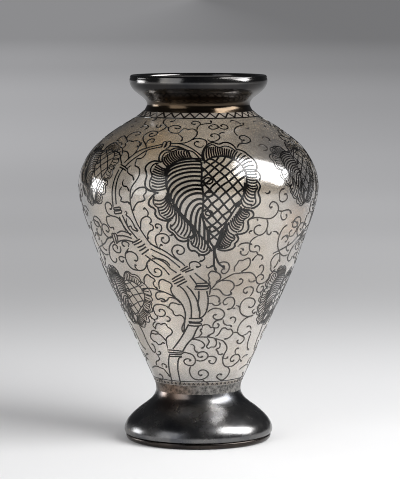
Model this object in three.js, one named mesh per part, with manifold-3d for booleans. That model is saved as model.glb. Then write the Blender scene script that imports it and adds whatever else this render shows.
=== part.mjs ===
// A blown glass vase with a silver rim and a silver foot, and a vine of silver lines laid over the glass.
// Millimetres, +Z up. It stands on z = 0 with its axis at x = y = 0, and the front faces -Y.
import * as THREE from "three";
import { mergeVertices } from "three/addons/utils/BufferGeometryUtils.js";
import Module from "manifold-3d";

const wasm = await Module();
wasm.setup();

// Outline of the whole vase, as radii, heights above the table and rises above the piece below.
const footRadius = 59.1;
const footEdgeHeight = 8.2;
const waistRadius = 33.6;
const waistHeight = 39.7;
const bellyRadius = 94.9;
const bellyHeight = 203.5;
const collarRadius = 43.1;
const collarHeight = 261.6;
const neckRadius = 40.9;
const neckRise = 5.3;
const rimRadius = 54.6;
const rimRise = 24;
const lipRise = 4.4;

// Glass.
const glassWall = 3;
const glassFloor = 6;
const glassFloorCorner = 3;
const glassNeckRise = 14.4;

// Silver sheet and wire.
const rimSheet = 1.2;
const liningSheet = 0.8;
const liningDrop = 3.6;
const liningFlareRise = 2;
const lipWidth = 4.4;
const lipHeight = 2.1;
const lipInset = 0.44;
const footSheet = 1.1;
const cupSheet = 0.9;
const cupFloor = 1;
const cupRise = 7.3;
const baseRingHeight = 4.9;
const baseRingInset = 1.3;
const baseRingRoll = 3.4;
const baseRingWidth = 7.8;
const baseLedgeHeight = 2.2;
const baseLedgeWidth = 3.2;
const basePlateThickness = 1.2;

// Bedding.
const neckCement = 1.4;
const cupCement = 1.5;
const clearance = 0.3;

// Silver laid over the glass.
const lineWidth = 1.3;
const fineLineWidth = 1;
const lineHeight = 0.65;
const fineLineHeight = 0.4;
const lineLift = 0.5;
const fineLineLift = 0.55;
const longestSpan = 12;
const joinTolerance = 0.04;
const zigzagCount = 36;
const neckBorderHeight = 4.2;
const waistBorderHeight = 2.2;
const waistBorderGap = 0.4;

// The vine is drawn on a sheet that wraps the glass: degrees across, and units up from the waist to the
// collar. One sheet holds one plant and is a third of the way round.
const plantCount = 3;
const sheetUnitCount = 257;
const sheetUnitsPerDegree = 1.6;

// Leaves of one plant, each drawn at a scale about a middle on the sheet.
const largeLeafMiddle = [3, 170];
const sideLeafMiddle = [-61, 184];
const sideLeafScale = 0.6;
const lowLeafMiddle = [-52, 85];
const lowLeafScale = 0.5;

// Facets.
const turns = 32;
const neckSteps = 7;
const liningSteps = 3;
const shoulderSteps = 8;
const flankSteps = 11;
const footSteps = 6;

const vase = new THREE.Group();

const glassMaterial = new THREE.MeshStandardMaterial({ color: 0xbdb5aa, roughness: 0.08, metalness: 0 });
const darkSilver = new THREE.MeshStandardMaterial({ color: 0x56565a, roughness: 0.22, metalness: 1 });
const lineSilver = new THREE.MeshStandardMaterial({ color: 0x24211f, roughness: 0.35, metalness: 1 });
const paleSilver = new THREE.MeshStandardMaterial({ color: 0xa9a49c, roughness: 0.3, metalness: 1 });
const plaster = new THREE.MeshStandardMaterial({ color: 0xd8d1c4, roughness: 0.9, metalness: 0 });

// A smooth line through points given as [radius, height].
function smoothLine(points, steps) {
  const curve = new THREE.CatmullRomCurve3(
    points.map(([r, z]) => new THREE.Vector3(r, z, 0)),
    false,
    "centripetal",
  );
  return curve.getPoints(steps).map((p) => [p.x, p.y]);
}

// Points on the way from one [radius, height] to another, given as shares of the way across and up.
function between([r0, z0], [r1, z1], shares) {
  return shares.map(([across, up]) => [r0 + (r1 - r0) * across, z0 + (z1 - z0) * up]);
}

// A line moved sideways by a distance, to the right of its own direction when the distance is positive.
function offsetLine(points, distance) {
  return points.map(([r, z], i) => {
    const [ra, za] = points[Math.max(i - 1, 0)];
    const [rb, zb] = points[Math.min(i + 1, points.length - 1)];
    const length = Math.hypot(rb - ra, zb - za);
    return [r + ((zb - za) / length) * distance, z - ((rb - ra) / length) * distance];
  });
}

// The radius of a rising line at a height.
function radiusAt(line, z) {
  for (let i = 1; i < line.length; i++) {
    const [r0, z0] = line[i - 1];
    const [r1, z1] = line[i];
    if (z <= z1) return r0 + ((r1 - r0) * (z - z0)) / (z1 - z0);
  }
  return line.at(-1)[0];
}

// The stretch of a rising line between two heights, with its ends cut exactly there.
function stretch(line, low, high) {
  const inside = line.filter(([, z]) => z > low + clearance && z < high - clearance);
  return [[radiusAt(line, low), low], ...inside, [radiusAt(line, high), high]];
}

// A closed solid of a geometry, with its shared corners joined and its flat triangles left out.
function solidOf(geometry) {
  const bare = new THREE.BufferGeometry();
  bare.setAttribute("position", geometry.getAttribute("position"));
  bare.setIndex(geometry.index);
  const merged = mergeVertices(bare, 1e-4);
  const corners = [];
  for (let i = 0; i < merged.index.count; i += 3) {
    const [a, b, c] = [0, 1, 2].map((k) => merged.index.getX(i + k));
    if (a !== b && b !== c && c !== a) corners.push(a, b, c);
  }
  return new wasm.Manifold(
    new wasm.Mesh({
      numProp: 3,
      vertProperties: merged.getAttribute("position").array,
      triVerts: new Uint32Array(corners),
    }),
  );
}

function addSolid(name, solid, material) {
  const made = solid.getMesh();
  const geometry = new THREE.BufferGeometry();
  geometry.setAttribute("position", new THREE.BufferAttribute(made.vertProperties, 3));
  geometry.setIndex(new THREE.BufferAttribute(made.triVerts, 1));
  geometry.computeVertexNormals();
  const mesh = new THREE.Mesh(geometry, material);
  mesh.name = name;
  vase.add(mesh);
}

// A piece turned about the axis from a profile that runs up its outside and down its inside.
function addTurned(name, profile, material) {
  const closed = profile[0][0] === 0 ? profile : [...profile, profile[0]];
  const outline = closed.map(([r, z]) => new THREE.Vector2(r, z));
  const geometry = new THREE.LatheGeometry(outline, turns);
  geometry.rotateX(Math.PI / 2);
  addSolid(name, solidOf(geometry), material);
}

// Outline lines, each rising.
const neckHeight = collarHeight + neckRise;
const rimHeight = collarHeight + rimRise;
const height = rimHeight + lipRise;
const cupRimHeight = waistHeight + cupRise;
const baseRingRadius = footRadius - baseRingInset;
const baseRingFlatRadius = baseRingRadius - baseRingRoll;
const baseRingBore = baseRingRadius - baseRingWidth;
const waistPoint = [waistRadius, waistHeight];
const bellyPoint = [bellyRadius, bellyHeight];
const collarPoint = [collarRadius, collarHeight];
const neckPoint = [neckRadius, neckHeight];
const rimPoint = [rimRadius, rimHeight];
const footPoint = [footRadius, footEdgeHeight];

const flankShares = [[0.01, 0.025], [0.034, 0.058], [0.085, 0.1], [0.26, 0.247], [0.483, 0.43],
  [0.693, 0.607], [0.863, 0.786], [0.985, 0.938]];
const shoulderShares = [[0.021, 0.137], [0.077, 0.276], [0.166, 0.417], [0.291, 0.553], [0.454, 0.671],
  [0.632, 0.78], [0.788, 0.867], [0.92, 0.94]];
const rimShares = [[0.15, 0.24], [0.467, 0.422], [0.76, 0.604], [0.934, 0.797]];
const footShares = [[0.024, 0.094], [0.114, 0.233], [0.278, 0.377], [0.482, 0.519], [0.694, 0.645],
  [0.859, 0.761], [0.961, 0.887]];
const footTuckShares = [[0.8, 0.45]];

const flank = smoothLine(
  [waistPoint, ...between(waistPoint, bellyPoint, flankShares), bellyPoint],
  flankSteps,
);
const shoulder = smoothLine(
  [bellyPoint, ...between(bellyPoint, collarPoint, shoulderShares), collarPoint],
  shoulderSteps,
);
const wall = [...flank, ...shoulder.slice(1)];
const neckLine = smoothLine(
  [collarPoint, neckPoint, ...between(neckPoint, rimPoint, rimShares), rimPoint],
  neckSteps,
);
const shellTop = height - lipHeight;
const shellTopPoint = [rimRadius - lipInset, shellTop];
const footBottomPoint = [baseRingRadius, baseRingHeight];
const footLine = smoothLine(
  [footPoint, ...between(footPoint, waistPoint, footShares), waistPoint],
  footSteps,
);
const footTuck = between(footBottomPoint, footPoint, footTuckShares);

// Glass body, ground back at the foot for the cup and at the neck for the rim.
const cupSeatLine = offsetLine(stretch(wall, waistHeight, cupRimHeight), -(cupSheet + clearance));
const glassBottom = waistHeight + cupFloor + cupCement;
const glassSeatRadius = radiusAt(wall, glassBottom) - cupSheet - clearance;
const neckTubeRadius = neckRadius - rimSheet - neckCement - 2 * clearance;
const glassNeckTop = collarHeight + glassNeckRise;
const glassOuter = stretch(wall, cupRimHeight, collarHeight);
const cavityFloor = glassBottom + glassFloor;
// The cavity has every second ring of the outside.
const cavityLine = offsetLine(glassOuter, -glassWall)
  .filter(([r, z], i) => i % 2 && z > cavityFloor + glassWall && r > neckTubeRadius - glassWall);
const cavityFloorRadius = radiusAt(wall, cavityFloor) - glassWall - glassFloorCorner;
const cavityTop = collarHeight - glassWall;
addTurned(
  "glass_body",
  [
    [0, glassBottom],
    [glassSeatRadius, glassBottom],
    [radiusAt(wall, cupRimHeight) - cupSheet - clearance, cupRimHeight],
    ...glassOuter,
    [neckTubeRadius, collarHeight],
    [neckTubeRadius, glassNeckTop],
    [neckTubeRadius - glassWall, glassNeckTop],
    [neckTubeRadius - glassWall, cavityTop],
    ...cavityLine.reverse(),
    [cavityFloorRadius, cavityFloor],
    [0, cavityFloor],
  ],
  glassMaterial,
);

// Rim mount: outer shell, inner lining, lip wire and the cement that holds it on the glass neck.
const shellOuter = [...stretch(neckLine, collarHeight, rimHeight), shellTopPoint];
const shellInner = offsetLine(shellOuter, -rimSheet);
shellInner[0] = [collarRadius - rimSheet, collarHeight];
shellInner[shellInner.length - 1] = [shellTopPoint[0] - rimSheet, shellTop];
addTurned("rim_shell", [...shellOuter, ...shellInner.toReversed()], darkSilver);

const liningRadius = neckTubeRadius - glassWall - clearance;
const liningTopRadius = shellTopPoint[0] - lipWidth + liningSheet;
const liningBottom = collarHeight - liningDrop;
const liningPoint = [liningRadius, glassNeckTop + liningFlareRise];
const liningTopPoint = [liningTopRadius, shellTop];
const liningShares = [[0.08, 0.2], [0.5, 0.6]];
const liningFlare = [liningPoint, ...between(liningPoint, liningTopPoint, liningShares), liningTopPoint];
const liningOuter = [[liningRadius, liningBottom], ...smoothLine(liningFlare, liningSteps)];
const liningInner = offsetLine(liningOuter, -liningSheet);
liningInner[0] = [liningRadius - liningSheet, liningBottom];
liningInner[liningInner.length - 1] = [liningTopRadius - liningSheet, shellTop];
addTurned("rim_lining", [...liningOuter, ...liningInner.toReversed()], paleSilver);

const lipOuterRadius = shellTopPoint[0];
const lipShares = [[0.03, 0.55], [0.2, 0.92], [0.38, 1], [0.66, 0.9], [0.95, 0.5]];
addTurned(
  "lip_wire",
  [
    [lipOuterRadius, shellTop],
    ...between([lipOuterRadius, shellTop], [lipOuterRadius - lipWidth, height], lipShares),
    [lipOuterRadius - lipWidth, shellTop],
  ],
  darkSilver,
);

const cementTop = (neckHeight + glassNeckTop) / 2;
const cementOuter = offsetLine(stretch(neckLine, collarHeight, cementTop), -(rimSheet + clearance));
cementOuter[0] = [collarRadius - rimSheet - clearance, collarHeight];
addTurned(
  "neck_cement",
  [
    ...cementOuter,
    [neckTubeRadius + clearance, cementOuter.at(-1)[1]],
    [neckTubeRadius + clearance, collarHeight],
  ],
  plaster,
);

// Foot mount: cup with its bed of cement, hollow dome, moulded ring, closing plate and filling.
const cupOuter = stretch(wall, waistHeight, cupRimHeight);
addTurned(
  "foot_cup",
  [
    [0, waistHeight],
    ...cupOuter,
    [radiusAt(wall, cupRimHeight) - cupSheet, cupRimHeight],
    ...cupSeatLine.slice(1, -1).reverse().map(([r, z]) => [r + clearance, z]),
    [radiusAt(wall, waistHeight + cupFloor) - cupSheet, waistHeight + cupFloor],
    [0, waistHeight + cupFloor],
  ],
  darkSilver,
);
addTurned(
  "cup_cement",
  [
    [0, waistHeight + cupFloor],
    [glassSeatRadius - clearance, waistHeight + cupFloor],
    [glassSeatRadius - clearance, glassBottom],
    [0, glassBottom],
  ],
  plaster,
);

const domeOuter = [footBottomPoint, ...footTuck, ...footLine];
const domeInner = offsetLine(domeOuter, -footSheet).filter(([, z]) => z < waistHeight - footSheet);
domeInner[0] = [baseRingRadius - footSheet, baseRingHeight];
const domeCeiling = waistHeight - footSheet;
const domeCeilingRadius = waistRadius - footSheet;
addTurned(
  "foot_dome",
  [
    ...domeOuter,
    [0, waistHeight],
    [0, domeCeiling],
    [domeCeilingRadius, domeCeiling],
    ...domeInner.toReversed(),
  ],
  darkSilver,
);

const ringWellRadius = baseRingBore + baseLedgeWidth;
const ringShares = [[0.6, 0.17], [1, 0.55]];
addTurned(
  "base_ring",
  [
    [baseRingFlatRadius, 0],
    ...between([baseRingFlatRadius, 0], [baseRingRadius, baseRingHeight], ringShares),
    [baseRingRadius, baseRingHeight],
    [ringWellRadius, baseRingHeight],
    [ringWellRadius, baseLedgeHeight],
    [baseRingBore, baseLedgeHeight],
    [baseRingBore, 0],
  ],
  darkSilver,
);
const plateTop = baseLedgeHeight + basePlateThickness;
addTurned(
  "base_plate",
  [
    [0, baseLedgeHeight],
    [ringWellRadius - clearance, baseLedgeHeight],
    [ringWellRadius - clearance, plateTop],
    [0, plateTop],
  ],
  paleSilver,
);
const fillingSide = offsetLine(domeOuter, -(footSheet + clearance))
  .filter(([r, z]) => z > footEdgeHeight && z < domeCeiling - clearance && r > domeCeilingRadius - clearance);
addTurned(
  "foot_filling",
  [
    [0, plateTop],
    [ringWellRadius - clearance, plateTop],
    [ringWellRadius - clearance, baseRingHeight],
    ...fillingSide,
    [domeCeilingRadius - clearance, domeCeiling],
    [0, domeCeiling],
  ],
  plaster,
);

// Where a place on the sheet lies on the glass, and which way the glass faces there.
const wallLengths = [0];
for (let i = 1; i < wall.length; i++) {
  const [r0, z0] = wall[i - 1];
  const [r1, z1] = wall[i];
  wallLengths.push(wallLengths[i - 1] + Math.hypot(r1 - r0, z1 - z0));
}
const sheetUnit = wallLengths.at(-1) / sheetUnitCount;
function onGlass([degrees, up]) {
  const length = up * sheetUnit;
  let i = 1;
  while (i < wall.length - 1 && wallLengths[i] < length) i++;
  const share = (length - wallLengths[i - 1]) / (wallLengths[i] - wallLengths[i - 1]);
  const [r0, z0] = wall[i - 1];
  const [r1, z1] = wall[i];
  const angle = THREE.MathUtils.degToRad(degrees);
  const outward = new THREE.Vector2(z1 - z0, r0 - r1).normalize();
  const r = r0 + (r1 - r0) * share;
  return {
    point: new THREE.Vector3(r * Math.sin(angle), -r * Math.cos(angle), z0 + (z1 - z0) * share),
    outward: new THREE.Vector3(outward.x * Math.sin(angle), -outward.x * Math.cos(angle), outward.y),
  };
}
function upAtHeight(z) {
  const i = wall.findIndex((point) => point[1] >= z);
  const share = (z - wall[i - 1][1]) / (wall[i][1] - wall[i - 1][1]);
  const length = wallLengths[i - 1] + share * (wallLengths[i] - wallLengths[i - 1]);
  return length / sheetUnit;
}

// The same line with places added so that its straight spans stay close to the curve of the glass.
function closeTogether(places, closed) {
  const ends = closed ? [...places, places[0]] : places;
  const result = [ends[0]];
  for (let i = 1; i < ends.length; i++) {
    const from = ends[i - 1];
    const to = ends[i];
    const length = onGlass(from).point.distanceTo(onGlass(to).point);
    const parts = Math.ceil(length / longestSpan);
    for (let k = 1; k <= parts; k++) {
      result.push(from.map((value, n) => value + ((to[n] - value) * k) / parts));
    }
  }
  return closed ? result.slice(0, -1) : result;
}

// A strip along a line on the sheet, lying just off the glass. Each place is [degrees, up, width], and the
// section is a list of [across, out] shares.
function strip(line, lift, thickness, section, closed = false) {
  const places = closeTogether(line, closed);
  const stations = places.map(onGlass);
  const count = stations.length;
  const sides = section.length;
  const positions = [];
  stations.forEach(({ point, outward }, i) => {
    const before = closed ? stations[(i + count - 1) % count] : stations[Math.max(i - 1, 0)];
    const after = closed ? stations[(i + 1) % count] : stations[Math.min(i + 1, count - 1)];
    const along = after.point.clone().sub(before.point).normalize();
    const side = along.cross(outward).normalize();
    const width = places[i][2];
    for (const [across, out] of section) {
      const corner = point.clone();
      corner.addScaledVector(side, (across * width) / 2);
      corner.addScaledVector(outward, lift + out * thickness);
      positions.push(corner.x, corner.y, corner.z);
    }
  });
  const faces = [];
  const spans = closed ? count : count - 1;
  for (let i = 0; i < spans; i++) {
    const here = sides * i;
    const next = sides * ((i + 1) % count);
    for (let k = 0; k < sides; k++) {
      const m = (k + 1) % sides;
      faces.push(here + k, next + k, next + m, here + k, next + m, here + m);
    }
  }
  if (!closed) {
    const last = sides * (count - 1);
    for (let k = 1; k < sides - 1; k++) {
      faces.push(0, k, k + 1, last, last + k + 1, last + k);
    }
  }
  const geometry = new THREE.BufferGeometry();
  geometry.setAttribute("position", new THREE.Float32BufferAttribute(positions, 3));
  geometry.setIndex(faces);
  return solidOf(geometry);
}
const ridge = [[-1, 0], [1, 0], [0, 1]];
const flat = [[-1, 0], [1, 0], [1, 1], [-1, 1]];
const ofWidth = (places, width) => places.map(([degrees, up]) => [degrees, up, width]);
const bold = (places, closed) => strip(ofWidth(places, lineWidth), lineLift, lineHeight, ridge, closed);
const fine = (places) => strip(ofWidth(places, fineLineWidth), fineLineLift, fineLineHeight, ridge);
const band = (places, closed) => {
  const wide = places.map(([degrees, up, width]) => [degrees, up, width * sheetUnit]);
  return strip(wide, lineLift, fineLineHeight, flat, closed);
};
const joined = (solids) => solids.reduce((sum, solid) => sum.add(solid))
  .asOriginal()
  .simplify(joinTolerance);

// The two edges of a stem, each half its width to one side of its middle line.
function edgesOf(stem) {
  return [-1, 1].map((side) =>
    stem.map(([degrees, up, width], i) => {
      const [d0, u0] = stem[Math.max(i - 1, 0)];
      const [d1, u1] = stem[Math.min(i + 1, stem.length - 1)];
      const { point } = onGlass([degrees, up]);
      const unitsPerDegree = (THREE.MathUtils.degToRad(1) * Math.hypot(point.x, point.y)) / sheetUnit;
      const across = (d1 - d0) * unitsPerDegree;
      const along = u1 - u0;
      const shift = (side * width) / 2 / Math.hypot(across, along);
      return [degrees + (along * shift) / unitsPerDegree, up - across * shift];
    }),
  );
}

// Borders that circle the glass: a row of teeth under the rim and a plain band over the foot cup.
const around = (count, place) => Array.from({ length: count }, (_, i) => [(360 * i) / count, ...place(i)]);
const neckBorderWidth = neckBorderHeight / sheetUnit;
const borderBottom = upAtHeight(collarHeight - clearance) - neckBorderWidth;
const tooth = (i) => {
  const wide = i % 2 ? neckBorderWidth : lineWidth / sheetUnit;
  return [borderBottom + wide / 2, wide];
};
addSolid("neck_border", band(around(2 * zigzagCount, tooth), true), lineSilver);
const waistBorderWidth = waistBorderHeight / sheetUnit;
const waistBorderUp = upAtHeight(cupRimHeight + waistBorderGap) + waistBorderWidth / 2;
addSolid("waist_border", band(around(turns, () => [waistBorderUp, waistBorderWidth]), true), lineSilver);

// A heart leaf in sheet units from its middle: striped left half, latticed right half, scallops round it.
const heart = [[-1.6, 29], [-10, 34], [-22, 31.4], [-28.6, 19], [-25, 4], [-17, -12], [-7, -23], [7.7, -38.5],
  [11, -26], [20, -11], [29, 6], [32.2, 20], [22, 33.4], [8, 35.2]];
const midrib = [[-1.6, 30], [-2.2, 10], [-0.6, -12], [7.7, -39]];
const scallops = [[-10, 34], [-20, 41], [-27.2, 38.6], [-36, 37.5], [-36, 30], [-45.5, 26.5], [-46.4, 14],
  [-39.5, 5], [-43.2, -2], [-37.5, -11], [-29.5, -17], [-29, -25], [-19, -33], [-12.8, -31.5], [-12, -40],
  [0, -43.8], [7.7, -37.6], [15, -43], [27.5, -35.5], [28.4, -29], [35.5, -22], [34, -16.4], [38.8, -11.5],
  [35.2, -7.4], [43.2, -2], [40.4, 6], [44.4, 12], [40.6, 17], [43, 24], [40, 29], [38.6, 38], [30, 42.5],
  [21, 49.5], [12.4, 45], [5.5, 47.5], [-0.6, 38.5], [-1.6, 29]];
const scallopRibs = [[[-22, 31.4], [-27.2, 38.6]], [[-27.6, 19], [-45.8, 21]], [[-25, 4], [-39.5, 5]],
  [[-17, -12], [-37.5, -11]], [[-8, -22], [-19, -33]], [[14, -21], [28.4, -29]], [[25.4, -2.4], [43, -2]],
  [[31, 14], [42, 14.6]], [[26, 30], [30, 42.5]]];
const stripes = [[[-1.8, 27], [-14, 28.4], [-26, 24]], [[-2, 16], [-14, 16], [-27, 8]],
  [[-2.2, 6], [-12, 5], [-22, -3]], [[-1, -6], [-9, -9], [-14.6, -15]]];
const lattice = [[[-2.2, 10], [25, 31.4]], [[0, -13], [32, 17]], [[-2, 24], [28, 3.4]], [[-2, 4], [17, -16]],
  [[-1.6, -1], [31, 25.6]], [[3, 33.6], [31.6, 13]]];

function heartLeaf(middle, scale, plant, edge, inner) {
  const place = ([x, y]) => [
    middle[0] + plant + (scale * x) / sheetUnitsPerDegree,
    middle[1] + scale * y,
  ];
  return joined([
    bold(heart.map(place), true),
    bold(midrib.map(place)),
    bold(edge.map(place)),
    ...inner.map((line) => fine(line.map(place))),
  ]);
}

// The jointed stem of one plant, as places with widths in sheet units. Each tie is a short wide band over it.
const mainStem = [[-29.4, 10.8, 8], [-29, 19, 8], [-27, 27, 7.5], [-22.6, 38, 7.5], [-11, 50, 7.5],
  [-5.5, 59, 7.5], [-3.2, 66, 7], [-2.1, 78, 5.5], [-5, 90, 5], [-9.6, 100, 4.5], [-12, 105, 4.5],
  [-18, 114, 4.5], [-25, 122, 4.5], [-31.4, 131.5, 4.4], [-37.4, 144, 4], [-41.2, 158, 4], [-43, 172, 3.6],
  [-41.8, 186, 3.6], [-40, 193.4, 3.6], [-35.2, 204, 3.8], [-29, 211.4, 3.8], [-20.6, 215.6, 3.8],
  [-10.4, 216.2, 3.8], [-5, 212.6, 3.6], [-1.6, 208, 3]];
const twinStem = [[0, 67.5, 4.5], [3.4, 76, 6], [3.4, 86, 6], [2.3, 98.4, 5.5], [-2.3, 106, 4.5],
  [-6.6, 114, 4.5], [-15, 123, 4.5], [-23, 129.6, 4.5], [-31, 133.6, 4]];
const sideStem = [[-34, 135.4, 5.5], [-41, 138.6, 5.5], [-49, 136, 5.5], [-55.4, 133.2, 5], [-61, 128, 5],
  [-70, 124, 4]];
const ties = [
  [[-23.4, 35, 14], [-22.6, 38.6, 14]],
  [[-3.4, 64.4, 12], [-3, 68, 12]],
  [[-9.9, 100.6, 9], [-11.6, 104.4, 9]],
  [[-29.8, 128, 10], [-33, 135, 10]],
  [[-41.2, 158, 7.5], [-41.7, 161.6, 7.5]],
  [[-40.2, 192, 7], [-39.8, 194.6, 7]],
  [[-20.2, 215.8, 8], [-18, 216, 8]],
  [[2.6, 97, 10], [2, 99.6, 10]],
  [[-5.6, 112.4, 8], [-7.4, 115.6, 8]],
  [[-48.2, 136.2, 9], [-50, 135.8, 9]],
];
// Tendrils of one plant, each from a stem joint or from an earlier tendril to its rolled end.
const tendrils = [
  [[-33, 15], [-42, 21], [-53, 23], [-61, 20], [-60, 12], [-53, 11]],
  [[-28, 37], [-26, 52], [-25, 62], [-34, 63], [-44, 51], [-36, 44], [-28.6, 46]],
  [[-16, 36], [-4, 35], [-6, 26.4], [-14, 29]],
  [[-6, 26.4], [-9.6, 19], [0, 12.8], [10, 16], [5, 22]],
  [[-7, 52], [5, 52.4], [20, 49], [27, 42], [25, 31], [31, 25], [42, 25], [46, 31], [37, 34]],
  [[31, 25], [38, 19], [31, 12], [24, 15]],
  [[20, 49], [30, 55], [40, 51], [42, 45]],
  [[30, 55], [34, 62], [41, 69], [31, 74], [31, 84], [40, 85], [39, 78]],
  [[1, 63], [11, 62], [18, 69], [14, 78], [5, 76]],
  [[-10, 56], [-10, 68], [-10, 79], [-15, 88], [-23, 93], [-32, 95]],
  [[-17, 89.6], [-17, 100], [-22, 103.8], [-24.8, 94]],
  [[5, 90], [9, 101], [17, 107], [26, 109.4], [34, 107.6], [38, 100], [46, 101]],
  [[17, 107], [22, 101], [21, 92], [6, 93]],
  [[24.6, 109.2], [21, 116], [27, 121], [30, 115], [27.6, 109]],
  [[-36, 136], [-43, 125], [-43.6, 114], [-36, 110.6], [-30, 116], [-25, 106], [-22, 111]],
  [[-30, 133], [-31.6, 145], [-33, 158], [-33, 183], [-31, 189], [-37, 199]],
  [[-39.6, 152], [-48, 156], [-49, 165], [-45, 163]],
  [[-7, 214], [-1, 224], [0, 234], [-5, 236.4], [-11, 236]],
  [[-11, 236], [-15, 230.6], [-22, 236], [-31, 246]],
  [[0, 234], [2, 241.6], [11, 243]],
  [[-31, 209.6], [-37, 222], [-36, 231], [-31, 232.6], [-30, 227]],
  [[-40, 194], [-42, 203], [-45, 212], [-51, 224], [-45, 230]],
];
// Lines that hang from the large leaf: its stalk below the tip and a tendril at its side.
const largeLeafLines = [
  [[7.4, 133], [8.6, 124], [10, 112]],
  [[26.4, 158.8], [36, 155], [41, 161], [38.6, 167]],
];

for (let plant = 0; plant < plantCount; plant++) {
  const turn = (360 / plantCount) * plant;
  const turned = (places) => places.map(([degrees, ...rest]) => [degrees + turn, ...rest]);
  const number = plant + 1;
  const stem = [
    ...[mainStem, twinStem, sideStem].flatMap(edgesOf).map((places) => bold(turned(places))),
    ...ties.map((places) => band(turned(places))),
    ...tendrils.map((places) => bold(turned(places))),
  ];
  const largeLeaf = heartLeaf(largeLeafMiddle, 1, turn, scallops, [...scallopRibs, ...stripes, ...lattice]);
  const leafLines = largeLeafLines.map((places) => bold(turned(places)));
  const plainEdge = scallops.filter((_, i) => i % 2 === 0);
  const fewLines = [stripes[2], lattice[1]];
  addSolid(`vine_stem_${number}`, joined(stem), lineSilver);
  addSolid(`large_leaf_${number}`, joined([largeLeaf, ...leafLines]), lineSilver);
  const sideLeaf = heartLeaf(sideLeafMiddle, sideLeafScale, turn, plainEdge, fewLines);
  const lowLeaf = heartLeaf(lowLeafMiddle, lowLeafScale, turn, plainEdge, fewLines);
  addSolid(`side_leaf_${number}`, sideLeaf, lineSilver);
  addSolid(`low_leaf_${number}`, lowLeaf, lineSilver);
}

export default vase;
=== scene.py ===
import math

import bpy
import numpy as np
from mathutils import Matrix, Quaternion, Vector


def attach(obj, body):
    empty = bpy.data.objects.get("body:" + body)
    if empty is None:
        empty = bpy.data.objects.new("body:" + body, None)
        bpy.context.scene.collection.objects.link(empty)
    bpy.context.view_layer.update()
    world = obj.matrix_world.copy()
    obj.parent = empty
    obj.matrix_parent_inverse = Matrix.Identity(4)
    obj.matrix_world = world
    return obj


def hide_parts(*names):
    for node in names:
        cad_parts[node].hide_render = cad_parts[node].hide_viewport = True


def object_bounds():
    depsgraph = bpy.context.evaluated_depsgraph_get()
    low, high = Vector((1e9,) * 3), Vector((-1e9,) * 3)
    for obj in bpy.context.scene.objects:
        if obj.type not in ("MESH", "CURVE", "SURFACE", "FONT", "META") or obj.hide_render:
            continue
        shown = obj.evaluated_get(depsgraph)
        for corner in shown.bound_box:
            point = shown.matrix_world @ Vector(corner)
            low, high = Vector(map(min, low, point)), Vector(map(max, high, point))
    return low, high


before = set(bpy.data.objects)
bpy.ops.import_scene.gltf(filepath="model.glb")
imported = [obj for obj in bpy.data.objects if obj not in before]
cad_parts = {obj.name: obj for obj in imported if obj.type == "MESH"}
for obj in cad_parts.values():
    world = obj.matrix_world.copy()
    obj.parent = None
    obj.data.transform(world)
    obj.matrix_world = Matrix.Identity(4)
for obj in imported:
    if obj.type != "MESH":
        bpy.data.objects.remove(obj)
cad_low, cad_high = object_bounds()

# The outline is given in millimetres for the frame's own height.
DRAWN_HEIGHT = 290
MM = (cad_high.z - cad_low.z) / DRAWN_HEIGHT

# Camera, in metres and degrees, with the focal length and the shift in pixels of the picture.
EYE = Vector((0, -1.970, 0.351))
EYE_PITCH = 5.56
FOCAL_PIXELS = 2490
IMAGE_HEIGHT = 479
AXIS_LEFT_OF_CENTRE = 1.6
SENSOR = 36
PIXEL_FILTER = 1.0

# How finely the turned pieces and the curves are drawn, with steps in millimetres.
ROUND_STEPS = 192
OUTLINE_STEP = 1.6
LIP_STEP = 0.35
RING_STEP = 0.5
SPAN_STEPS = 12
SHARP_EDGE = math.radians(35)
ELLIPSE_POINTS = 14
FEWEST_POINTS = 3

# Outline of the glass and its mounts, as (radius, height).
BODY = [(33.6, 40), (34, 43.6), (35.7, 49.2), (38.8, 56), (42.8, 65), (49.6, 80), (56.3, 95), (63.3, 110),
        (70.1, 125), (76.1, 139), (81.3, 153.5), (86.5, 168.5), (91, 181.5), (94, 193.5), (94.9, 203.5),
        (93.8, 211.5), (90.9, 219.6), (86.3, 227.8), (79.8, 235.7), (71.4, 242.6), (62.2, 249), (54.1, 254),
        (47.3, 258.2), (43, 261.8)]
NECK = [(43, 261.8), (41, 265.4), (41, 268.4), (43, 271.4), (47.3, 274.8), (51.3, 278.2), (53.7, 281.8),
        (54.6, 285.6), (54.16, 287.9)]
LIP = [(54.16, 287.9), (53.95, 289), (53.3, 289.75), (52.5, 290), (51.3, 289.75), (50.1, 289),
       (49.76, 287.9)]
LINING = [(34.4, 258), (34.4, 266), (34.4, 274), (34.5, 278), (35.9, 280.6), (42.5, 284.3), (50.56, 287.9)]
FOOT = [(56.9, 4.9), (58, 5.2), (58.8, 6.2), (59.1, 8.2), (58.5, 11.2), (56.2, 15.6), (52, 20.2),
        (46.8, 24.7), (41.4, 28.7), (37.2, 32.4), (34.6, 36.4), (33.6, 39.7)]
RING = [(54.4, 0), (56.3, 0.5), (57.4, 1.7), (57.8, 3.1), (57.6, 4.2), (56.9, 4.9)]
WAIST = 39.7
CUP_TOP = 47
CUP_FLOOR = 40.7
GLASS_BOTTOM = 42.2
GLASS_SEAT = 32.4
GLASS_FLOOR = 48.2
GLASS_WALL = 3
CAVITY_TOP = 258.6
NECK_TUBE = 37.7
NECK_TUBE_TOP = 276
CEMENT_TOP = 271.4
NECK_FLARE_STEPS = 3
RIM_SHEET = 1.2
LINING_SHEET = 0.8
FOOT_SHEET = 1.1
FILLING_BOTTOM = 8.2
CUP_SHEET = 0.9
GAP = 0.3
RING_BORE = 50
RING_WELL = 53.2
RING_TOP = 4.9
RING_LEDGE = 2.2
PLATE_TOP = 3.4

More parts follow.
